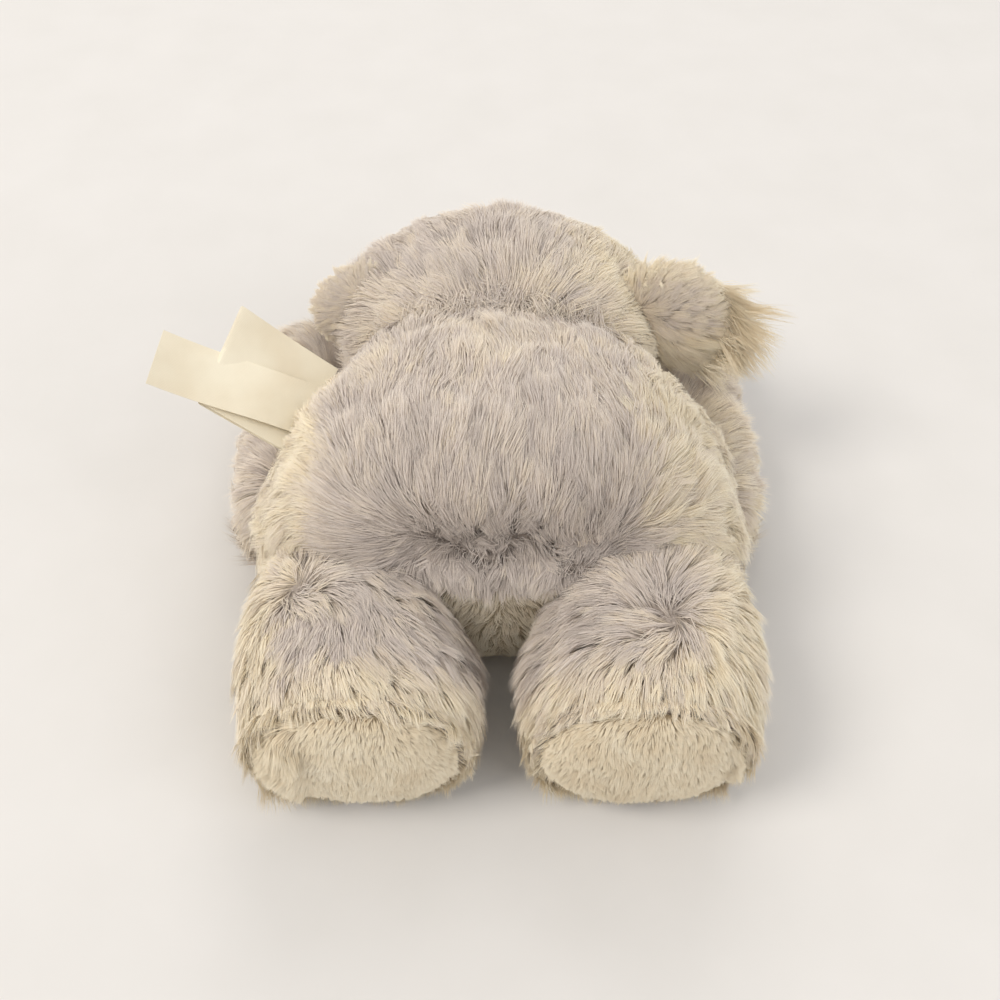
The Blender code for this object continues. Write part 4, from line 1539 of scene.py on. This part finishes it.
    def _eye(self, whole: Form, side: Side) -> None:
        """One eye: a domed button with a rounded rim.

        Args:
            whole: the head's form.
            side: which eye.
        """
        spot, outward = self.eye_spot(whole, side)
        turned = outward.to_track_quat("Z", "Y").to_matrix().to_4x4()
        at = np.array(Matrix.Translation(spot) @ turned)

        def shape(along: Array, turn: Array) -> Array:
            """Points of the button."""
            own = ball_at(along, turn)
            own[:, 2] *= np.where(own[:, 2] > 0, self.eye_dome, self.eye_back)
            own[:, 2] += self.eye_out
            own[:, :2] *= self.eye_radius
            return own @ at[:3, :3].T + at[:3, 3]

        eye = sphere_form(f"eye_button_{side.word}", shape, 64, 48)
        smooth(eye, 80)
        dress(eye, EYE_GLOSS, "head", f"eye_{side.word}")


@dataclass(frozen=True)
class Hair:
    """An ear's hair: the lining's length, way and lift, the back's length, lift, rim and fall."""

    length: float
    way: XYZ
    lift: float
    back: float
    back_lift: float
    rim: float
    fall: float


@dataclass
class Ear:
    """A round ear: a grey back and a long-haired cream lining, on the head's side."""

    side: Side
    left_offset: XYZ = (0.0452, -0.0072, 0.0155)
    right_offset: XYZ = (0.0530, -0.0090, 0.0212)
    left_radius: float = 0.0142
    right_radius: float = 0.0155
    half_thickness: float = 0.0036
    dish: float = 0.0016
    head_gap: float = 0.0015
    half_gap: float = 0.0001
    back_strands: int = 16000
    lining_strands: int = 11000
    left_hair: Hair = Hair(0.0085, (0.10, 0.60, -1.00), 0.55, 0.0050, 0.40, 0.08, 0.0)
    right_hair: Hair = Hair(0.0220, (1.60, -0.45, -0.55), 0.15, 0.0074, 0.42, 0.34, 1.0)

    def build(self, head: Head, whole: Form) -> None:
        """Makes the ear's two layers and their pile.

        Args:
            head: the head that carries it.
            whole: the head's form.
        """
        body = f"ear_{self.side.word}"
        foot, axis = (Vector(value) for value in joint_named(f"{body}_fold"))
        across = axis.normalized()
        offset = Vector(self.side.pick(self.left_offset, self.right_offset))
        offset.x *= self.side.value
        radius = self.side.pick(self.left_radius, self.right_radius)
        out = (head.place.to_3x3() @ offset).normalized()
        facing = out.cross(across).normalized()
        middle = head.place @ offset
        axes, centre = np.array([across, facing, out]), np.array(middle)

        def shape(along: Array, turn: Array) -> Array:
            """Points of the ear: a thick lens, dished towards its lining."""
            own = ball_at(along, turn)
            dish = self.dish * (own[:, 0] ** 2 + own[:, 2] ** 2)
            own *= np.array((radius, self.half_thickness, radius))
            own[:, 1] += dish
            return centre + own @ axes

        ear = sphere_form(f"ear whole {self.side.word}", shape, 64, 40)
        grown = copied(whole, "head past the ear")
        push_out(grown, self.head_gap)
        for part, way, finish in (("back", -1.0, GREY_BACKING), ("lining", 1.0, CREAM_BACKING)):
            layer = copied(ear, f"{body}_{part}_cover")
            cut_flat(layer, middle + facing * (self.half_gap * way), facing * way)
            cut_clear(layer, grown)
            as_cover(layer, finish, body, 0.5, f"{body}_{part}")
        self._pile(body, ear, tree_of(grown), np.array(foot), centre, np.array(facing))
        discard(grown, ear)

    def _pile(
        self, body: str, ear: Form, head: BVHTree, foot: Array, centre: Array, face: Array
    ) -> None:
        """The ear's short grey pile behind and its long cream hair in front.

        Args:
            body: the ear's body.
            ear: its form.
            head: the head's form, which holds no roots of it.
            foot: where it is sewn on.
            centre: its middle.
            face: the direction that its lining faces.
        """
        hair = self.side.pick(self.left_hair, self.right_hair)
        way = np.array(hair.way)

        def front(points: Array) -> Array:
            """How far points lie in front of the ear's middle plane."""
            return (points - centre) @ face

        def swept(points: Array) -> Array:
            """How far points lie the way that the hair is swept."""
            return (points - centre) @ unit(way)

        def fallen(points: Array) -> Array:
            """1 on the lower half of an ear whose back is cream, long and swept there."""
            return hair.fall * step(centre[2] - points[:, 2], -0.002, 0.006)

        def back_tone(points: Array, normals: Array) -> Array:
            """Grey, paler at the rim, and cream where the hair falls."""
            rim = hair.rim * step(length_of(points - centre), 0.006, 0.014)
            return 0.54 + np.maximum(rim, 0.36 * fallen(points))

        Coat(
            f"{body}_back_pile", GREY_PILE, body, self.back_strands, hair.back,
            lambda p, n: unit(p - foot) + 1.5 * fallen(p)[:, None] * unit(way),
            back_tone,
            mask=lambda p, n: step(-front(p), -0.0008, 0.0),
            trim=lambda p, n: 1 + 0.9 * fallen(p),
            lift=hair.back_lift, lay=0.06, droop=0.05, gather=0.45, seed=41 + self.side.value,
        ).grow(ear, [head])
        Coat(
            f"{body}_lining_pile", CREAM_PILE, body, self.lining_strands, hair.length,
            lambda p, n: (p - centre) * 26 + way,
            lambda p, n: 0.80 + 0.10 * ripple(p, 0.008, 6) - 0.15 * step(-swept(p), 0.0, 0.01),
            mask=lambda p, n: step(front(p), -0.0006, 0.0006),
            trim=lambda p, n: 0.34 + 0.66 * step(swept(p), -0.003, 0.010),
            width=0.00024, lift=hair.lift, lay=0.05, gather=0.55, segments=3, lock_stray=0.25,
            seed=45 + self.side.value,
        ).grow(ear, [head])


# ---------------------------------------------------------------- limbs


@dataclass
class Arm:
    """An arm that lies forward beside the flank.

    Each row of shares is a slice: how far along it is, and how thick.
    """

    side: Side
    left_x: float = 0.0665
    right_x: float = 0.0640
    hand_out: float = 0.0020
    rear: float = 0.0055
    front: float = 0.098
    radius: float = 0.0162
    height: float = 0.0166
    lump: float = 0.0005
    root_strands: int = 5000
    strands: int = 42000
    length: float = 0.0130
    shares: Table = (
        (0.00, 0.00),
        (0.03, 0.52),
        (0.09, 0.84),
        (0.18, 1.00),
        (0.36, 0.98),
        (0.58, 0.89),
        (0.78, 0.92),
        (0.90, 0.78),
        (0.97, 0.46),
        (1.00, 0.00),
    )

    def _shape(self, along: Array, turn: Array) -> Array:
        """Points of the arm, with a slight bend."""
        rows = table_at(self.shares, along)
        share = np.clip(rows[:, 0], 0, 1)
        thick = self.radius * np.clip(rows[:, 1], 0, 1.2)
        middle = self.side.pick(self.left_x, self.right_x) + self.hand_out * share
        x = self.side.value * middle + thick * np.cos(turn)
        y = self.rear + share * (self.front - self.rear)
        return np.stack([x, y, self.height + thick * np.sin(turn)], 1)

    def build(self, past: Form, past_head: Form) -> None:
        """Makes the arm's cover and pile.

        Args:
            past: the torso's form, grown, which the arm stays clear of.
            past_head: the head's form, which holds no roots of it.
        """
        sign, body = self.side.value, f"arm_{self.side.word}"
        whole = sphere_form(f"arm whole {self.side.word}", self._shape, 56, 56)
        push_out(whole, self.lump * ripple(points_of(whole), 0.028, 15))
        cover_limb(whole, past, body, 0.8, self.root_strands, 81 + sign)

        def tone(points: Array, normals: Array) -> Array:
            """Grey, paler towards the hand and the outer side, and cream at the right shoulder."""
            cream = self.side.pick(0.0, 0.34) * fade(points[:, 1], 0.036, 0.070)
            pale = 0.14 * step(sign * normals[:, 0], 0.1, 0.9)
            pale += 0.10 * step(points[:, 1], 0.05, 0.095)
            return 0.42 + np.maximum(pale, cream) + 0.05 * ripple(points, 0.014, 16)

        def comb(points: Array, normals: Array) -> Array:
            """Outwards, and towards the hand but for the shoulder's end."""
            ahead = -0.7 + 1.45 * step(points[:, 1], 0.006, 0.030)
            return np.stack([0 * ahead + 0.75 * sign, ahead, 0 * ahead - 0.25], 1)

        Coat(
            f"{body}_pile", GREY_PILE, body, self.strands, self.length, comb, tone,
            mask=lambda p, n: step(p[:, 2], 0.0005, 0.004),
            lay=0.15, lock_stray=0.14, gather=0.27, seed=51 + sign,
        ).grow(whole, [tree_of(past), tree_of(past_head)])
        discard(whole)


@dataclass
class Leg:
    """A thick leg stretched out behind, closed by a flat sole.

    Each row of shares is a slice: how far along it is, its width, its height and its lift.
    """

    side: Side
    hip_x: float = 0.046
    sole_x: float = 0.0375
    front: float = -0.016
    sole_y: float = -0.072
    half_width: float = 0.0305
    half_height: float = 0.0258
    lift: float = 0.0060
    bend: float = 1.6
    squareness: float = 2.2
    floor_clear: float = 0.0004
    lump: float = 0.0006
    shares: Table = (
        (0.00, 0.00, 0.00, 0.80),
        (0.09, 0.60, 0.76, 0.75),
        (0.27, 0.84, 0.98, 0.40),
        (0.50, 0.98, 1.00, 0.05),
        (0.75, 1.00, 0.97, 0.00),
        (0.93, 0.95, 0.94, 0.02),
        (1.00, 0.86, 0.86, 0.06),
        (1.00, 0.00, 0.00, 0.06),
    )
    sole_inset: float = 0.0016
    sole_back: float = 0.0003
    sole_crown: float = 0.0060
    sole_depth: float = 0.0012
    root_strands: int = 12000
    strands: int = 62000
    length: float = 0.0112
    sole_strands: int = 23000
    sole_length: float = 0.0034
    left_whorl: XYZ = (-0.053, -0.032, 0.052)
    right_whorl: XYZ = (0.043, -0.047, 0.052)
    left_tuft: XYZ = (-0.062, -0.071, 0.010)
    right_tuft: XYZ = (0.012, -0.071, 0.010)
    left_fringe: float = 0.0505
    right_fringe: float = 0.0585

    def form(self, name: str) -> Form:
        """The leg as one closed form.

        Args:
            name: the form's name.

        Returns:
            The form.
        """

        def shape(along: Array, turn: Array) -> Array:
            """Points of the leg from its hip to its sole."""
            rows = table_at(self.shares, along)
            share = np.clip(rows[:, 0], 0, 1)
            across, up = ring_at(turn, self.squareness)
            wide = self.half_width * np.clip(rows[:, 1], 0, 1.1)
            tall = self.half_height * np.clip(rows[:, 2], 0, 1.0)
            bend = (1 - share) ** self.bend
            x = self.side.value * (self.sole_x + (self.hip_x - self.sole_x) * bend)
            z = self.floor_clear + self.half_height + self.lift * rows[:, 3]
            y = self.front - share * (self.front - self.sole_y)
            return np.stack([x + wide * across, y, z + tall * up], 1)

        made = sphere_form(name, shape, 72, 64)
        points = points_of(made)
        keep = step(points[:, 1], self.sole_y + 0.0005, self.sole_y + 0.006)
        push_out(made, self.lump * ripple(points, 0.03, 25) * keep)
        points = points_of(made)
        points[:, 2] = np.maximum(points[:, 2], self.floor_clear)
        set_points(made, points)
        return made

    def _sole_shape(self, along: Array, turn: Array) -> Array:
        """Points of the sole's pad: an oval, crowned outwards, with its poles before and behind."""
        _, wide, tall, lift = self.shares[-2]
        wide = self.half_width * wide - self.sole_inset
        tall = self.half_height * tall - self.sole_inset
        height = self.floor_clear + self.half_height + self.lift * lift
        deep, level = np.sin((along - 0.5) * math.pi), np.cos((along - 0.5) * math.pi)
        across, up = ring_at(turn, self.squareness)
        flat = level**0.8
        crown = np.where(deep < 0, self.sole_crown, self.sole_depth) * deep
        x = self.side.value * self.sole_x + wide * flat * across
        return np.stack([x, self.sole_y - self.sole_back + crown, height + tall * flat * up], 1)

    def build(self, past: Form) -> None:
        """Makes the leg's cover, its sole and their pile.

        Args:
            past: the torso's form, grown, which the leg stays clear of.
        """
        sign, body = self.side.value, f"leg_{self.side.word}"
        whole = self.form(f"leg whole {self.side.word}")
        cover_limb(whole, past, body, 0.85, self.root_strands, 85 + sign)
        sole = sphere_form(f"sole_{self.side.word}_cover", self._sole_shape, 72, 40)
        as_cover(sole, SOLE_BACKING, body, 0.6, f"sole_{self.side.word}")
        self._pile(body, sign, whole, past)
        self._sole_pile(body, sign, sole)
        discard(whole)

    def _pile(self, body: str, sign: int, whole: Form, past: Form) -> None:
        """The leg's long pile, which runs from a whorl on the hip to the sole.

        Args:
            body: the leg's body.
            sign: the side's sign.
            whole: the leg's form.
            past: the torso's form, grown, which holds no roots of it.
        """
        whorl = np.array(self.side.pick(self.left_whorl, self.right_whorl))
        tuft_at = np.array(self.side.pick(self.left_tuft, self.right_tuft))

        def comb(points: Array, normals: Array) -> Array:
            """Away from the whorl, which wanders, and on towards the foot."""
            away = unit(wandering(points, {0: 0.0035, 1: 0.0035}, 0.020, 80 + sign) - whorl)
            away[:, 1] -= 0.45 * step(length_of(points - whorl), 0.004, 0.02)
            return away

        def tone(points: Array, normals: Array) -> Array:
            """Grey on top, cream at the outer side, below, and by the sole."""
            outer = (sign * points[:, 0] - self.sole_x) / self.half_width
            start = self.side.pick(0.42, 0.22)
            outside = step(outer + 0.10 * ripple(points, 0.012, 29), start, start + 0.35)
            below = step(-normals[:, 2], -0.1, 0.5)
            foot = 0.9 * fade(points[:, 1], self.sole_y + 0.006, self.sole_y + 0.022)
            cream = np.max([outside, below, foot], axis=0)
            cloud = 0.06 * ripple(points, 0.02, 28) + 0.04 * ripple(points, 0.008, 27)
            return 0.40 + 0.54 * cream + cloud

        def trim(points: Array, normals: Array) -> Array:
            """Shorter at the sole's edge, but not at the outer side, where it covers the sole."""
            foot = fade(points[:, 1], self.sole_y + 0.001, self.sole_y + 0.011)
            outer = step(sign * normals[:, 0], 0.2, 0.8)
            tuft = np.exp(-((length_of(points - tuft_at) / 0.006) ** 2))
            return 1 - foot * (0.48 - 0.26 * outer) + 0.3 * tuft

        def mask(points: Array, normals: Array) -> Array:
            """Clear of the floor and of the sole."""
            open_end = step(points[:, 1], self.sole_y - 0.0002, self.sole_y + 0.0006)
            return step(points[:, 2], 0.0006, 0.003) * open_end

        Coat(
            f"{body}_pile", GREY_PILE, body, self.strands, self.length, comb, tone, mask, trim,
            tangle=lambda p, n: 0.9 + 1.3 * fade(length_of(p - whorl), 0.002, 0.012),
            lift=0.55, droop=0.12, lock_stray=0.20, gather=0.38, seed=61 + sign,
        ).grow(whole, [tree_of(past)])

    def _sole_pile(self, body: str, sign: int, sole: Form) -> None:
        """The sole's short pile, longer at its outer edge, where hair hangs over it.

        Args:
            body: the leg's body.
            sign: the side's sign.
            sole: the sole's form.
        """

        def outer_edge(points: Array) -> Array:
            """1 at the sole's outer edge."""
            start = self.side.pick(self.left_fringe, self.right_fringe)
            return step(sign * points[:, 0], start, start + 0.004)

        def comb(points: Array, normals: Array) -> Array:
            """Downwards and a little outwards, in small swirls."""
            out = 16 * (points[:, 0] - sign * self.sole_x) + 0.4 * ripple(points, 0.014, 34)
            return np.stack([out, 0 * out, -0.9 + 0.3 * ripple(points, 0.014, 35)], 1)

        def tone(points: Array, normals: Array) -> Array:
            """Cream, dusky low down as painted shade, and palest at the outer edge."""
            # Painted shade: the sole's lower edge, by the floor, is darker.
            low = fade(points[:, 2], 0.004, 0.012)
            return 0.62 + 0.12 * ripple(points, 0.012, 33) - 0.15 * low + 0.10 * outer_edge(points)

        def mask(points: Array, normals: Array) -> Array:
            """The sole's outer face, densest where it faces straight back."""
            behind = (0.5 + step(-normals[:, 1], 0.2, 0.9)) * step(-normals[:, 1], -0.1, 0.1)
            return behind * step(points[:, 2], 0.001, 0.002)

        Coat(
            f"sole_{self.side.word}_pile", SHORT_PILE, body, self.sole_strands, self.sole_length,
            comb, tone, mask, trim=lambda p, n: 1 + 1.6 * outer_edge(p),
            width=0.00027, lift=1.3, lay=0.7, droop=0.1, gather=0.26, lock_size=16,
            tone_stray=0.07, seed=71 + sign,
        ).grow(sole)


# ---------------------------------------------------------------- labels


@dataclass
class Labels:
    """A bare satin loop in the left flank's seam, and a narrow bare strip over it."""

    wide_size: tuple[float, float] = (0.031, 0.0325)
    strip_size: tuple[float, float] = (0.0165, 0.0470)
    strip_shift: float = -0.0010
    wide_slant: float = math.radians(-1)
    wide_skew: float = math.radians(5)
    strip_slant: float = math.radians(11.5)
    strip_skew: float = math.radians(11)
    curl: float = 0.0022
    fold_radius: float = 0.0008
    rise: float = math.radians(30)
    cloth: float = 0.00022

    def place(self) -> Array:
        """The labels' frame, on the line they turn about: Y outwards, Z off their upper face.

        Returns:
            The frame in the model's frame, as an array of 4 by 4.
        """
        root, axis = joint_named("care_label_flip")
        along = Vector(axis).normalized()
        level = Vector((-along.y, along.x, 0)).normalized()
        out = level * math.cos(self.rise) + along.cross(level) * math.sin(self.rise)
        turned = Matrix((along, out, along.cross(out))).transposed()
        return np.array(Matrix.Translation(root) @ turned.to_4x4())

    def _tape(
        self, name: str, node: str, flat: tuple[float, float], steps: tuple[int, int],
        fold: Callable[[Array, Array], Array],
    ) -> Form:
        """A woven tape, bent to its shape and given its thickness.

        Args:
            name: the piece's name.
            node: the model's node that it replaces, which has its body's name too.
            flat: its width and length before it was sewn in.
            steps: how many squares across and along.
            fold: takes metres across and along, and returns points in the labels' frame.

        Returns:
            The piece.
        """
        deselect()
        bpy.ops.mesh.primitive_grid_add(x_subdivisions=steps[0], y_subdivisions=steps[1], size=1.0)
        made = bpy.context.object
        made.name = made.data.name = name
        while made.data.uv_layers:
            made.data.uv_layers.remove(made.data.uv_layers[0])
        own = points_of(made)
        layer = made.data.uv_layers.new(name=CLOTH_MAP)
        for corner, spot in zip(made.data.loops, layer.data):
            spot.uv = (own[corner.vertex_index, :2] + 0.5) * np.array(flat) / self.wide_size[0]
        place = self.place()
        bent = fold(own[:, 0] * flat[0], (own[:, 1] + 0.5) * flat[1])
        set_points(made, bent @ place[:3, :3].T + place[:3, 3])
        solid = made.modifiers.new("thickness", "SOLIDIFY")
        solid.thickness = self.cloth
        solid.offset = 0.0
        apply_modifiers(made)
        smooth(made, 60)
        dress(made, Satin(), node, node)
        return made

    def build(self) -> None:
        """Makes the folded label and the strip."""
        width, length = self.wide_size
        flat, strip_flat = (width, 2 * length), self.strip_size
        radius, turn = self.fold_radius, math.pi * self.fold_radius
        run = (flat[1] - turn) / 2

        def loop(across: Array, along: Array) -> Array:
            """The tape out along its lower layer, round the fold and back."""
            past = np.clip((along - run) / turn, 0, 1)
            lower = np.minimum(along, run) + radius * np.sin(math.pi * past)
            y = np.where(past < 1, lower, flat[1] - along)
            share = y / length
            z = -radius * np.cos(math.pi * past) * (0.55 + 0.75 * share)
            z += 0.0010 * np.sin(across * 90 + 0.6) * share
            z += self.curl * share**2 + 0.0012 * share * (across / width) * 2
            x = across - y * math.tan(self.wide_slant)
            return np.stack([x, y + across * math.tan(self.wide_skew) * share, z], 1)

        def strip_fold(across: Array, along: Array) -> Array:
            """The strip over the loop, with a slight wave."""
            share = along / strip_flat[1]
            z = 0.0018 + 0.0012 * share + self.curl * share**2 + 0.0007 * np.sin(along * 130)
            z += 0.0006 * np.cos(across * 300) * share
            x = across + self.strip_shift - along * math.tan(self.strip_slant)
            return np.stack([x, along + across * math.tan(self.strip_skew) * share, z], 1)

        wide = self._tape("wide_label", "care_label", flat, (28, 84), loop)
        strip = self._tape("strip_label", "narrow_label", strip_flat, (18, 56), strip_fold)


# ---------------------------------------------------------------- what stays from the model


def dress_nodes() -> None:
    """Gives the threads and washers that stay their finishes."""
    finishes = {"torso_seam_thread": SEAM_THREAD, "mouth_stitch": MOUTH_THREAD}
    finishes |= dict.fromkeys(("nose_washer", "eye_left_washer", "eye_right_washer"), WASHER)
    for name, finish in finishes.items():
        node = frame["nodes"][name]
        node.data.materials.clear()
        node.data.materials.append(dressed(finish))
        log.info("%s: %s", name, finish.name)


# ---------------------------------------------------------------- studio


@dataclass(frozen=True)
class Lamp:
    """A square soft lamp: where it stands, its side in metres, its watts and its tint."""

    name: str
    at: XYZ
    size: float
    power: float
    tint: RGB


@dataclass
class Studio:
    """The camera at the photograph's angle, soft light and a plain pale floor."""

    target: XYZ = (0.0, 0.0, 0.045)
    distance: float = 0.338
    elevation: float = math.radians(50)
    lens: float = 41.4
    near: float = 0.005
    floor_size: float = 8.0
    sky: float = 0.60
    sky_tint: tuple[float, float, float, float] = (1.0, 0.99, 0.98, 1.0)
    lamps: tuple[Lamp, ...] = (
        Lamp("key", (-2.0, -0.7, 2.6), 1.4, 52.0, (1.0, 0.955, 0.89)),
        Lamp("fill", (2.4, -1.6, 2.2), 2.4, 24.0, (0.95, 0.97, 1.0)),
        Lamp("rim", (0.3, 2.5, 1.9), 2.1, 24.0, (1.0, 0.98, 0.95)),
    )

    def build(self) -> None:
        """Makes the camera, the floor, the lamps and the world."""
        data = bpy.data.cameras.new("camera")
        data.sensor_width = 36.0
        data.lens = self.lens
        data.clip_start = self.near
        away = Vector((0, -math.cos(self.elevation), math.sin(self.elevation)))
        camera = self._aimed(data, Vector(self.target) + away * self.distance)
        bpy.context.scene.camera = camera
        deselect()
        bpy.ops.mesh.primitive_plane_add(size=self.floor_size)
        floor = bpy.context.object
        floor.name = "floor"
        floor.data.materials.append(dressed(Ground()))
        for lamp in self.lamps:
            light = bpy.data.lights.new(lamp.name, "AREA")
            light.shape = "SQUARE"
            light.size = lamp.size
            light.energy = lamp.power
            light.color = lamp.tint
            self._aimed(light, Vector(lamp.at))
        self._world()

    def _aimed(self, data: bpy.types.ID, at: Vector) -> Form:
        """Puts a camera or a lamp in its place, where it looks at the koala.

        Args:
            data: the camera or the lamp.
            at: where it stands.

        Returns:
            Its object.
        """
        made = bpy.data.objects.new(data.name, data)
        bpy.context.scene.collection.objects.link(made)
        made.location = at
        made.rotation_euler = (Vector(self.target) - at).to_track_quat("-Z", "Y").to_euler()
        return made

    def _world(self) -> None:
        """Even light from all round, with a pale ground where the camera looks past the floor."""
        world = bpy.data.worlds.new("studio")
        world.use_nodes = True
        bpy.context.scene.world = world
        tree = world.node_tree
        light = tree.nodes["Background"]
        light.inputs["Color"].default_value = self.sky_tint
        light.inputs["Strength"].default_value = self.sky
        seen = tree.nodes.new("ShaderNodeBackground")
        seen.inputs["Color"].default_value = linear(Ground.backdrop)
        ray = tree.nodes.new("ShaderNodeLightPath")
        kinds = ("Camera", "Glossy", "Transmission")
        straight, mirrored, passed = (Wire(tree, ray.outputs[f"Is {kind} Ray"]) for kind in kinds)
        choice = tree.nodes.new("ShaderNodeMixShader")
        plug(tree, choice.inputs["Fac"], straight + mirrored + passed)
        for source, place in ((light, choice.inputs[1]), (seen, choice.inputs[2])):
            tree.links.new(source.outputs[0], place)
        tree.links.new(choice.outputs[0], tree.nodes["World Output"].inputs["Surface"])
        bpy.context.scene.view_settings.view_transform = "Standard"


LEG_MARGIN = 0.0012
ARM_MARGIN = 0.0020


def main() -> None:
    """Builds the koala's looks in order, and the studio round it."""
    logging.basicConfig(level=logging.INFO, format="%(name)s %(message)s")
    Studio().build()
    torso = Torso()
    torso.build()
    Labels().build()
    head = Head()
    head.build(torso)
    past_legs = torso.form("torso past the legs", LEG_MARGIN)
    past_arms = torso.form("torso past the arms", ARM_MARGIN)
    past_head = head.form("head past the arms")
    for side in Side:
        Arm(side).build(past_arms, past_head)
        Leg(side).build(past_legs)
    discard(past_legs, past_arms, past_head)
    dress_nodes()


if __name__ == "__main__":
    main()
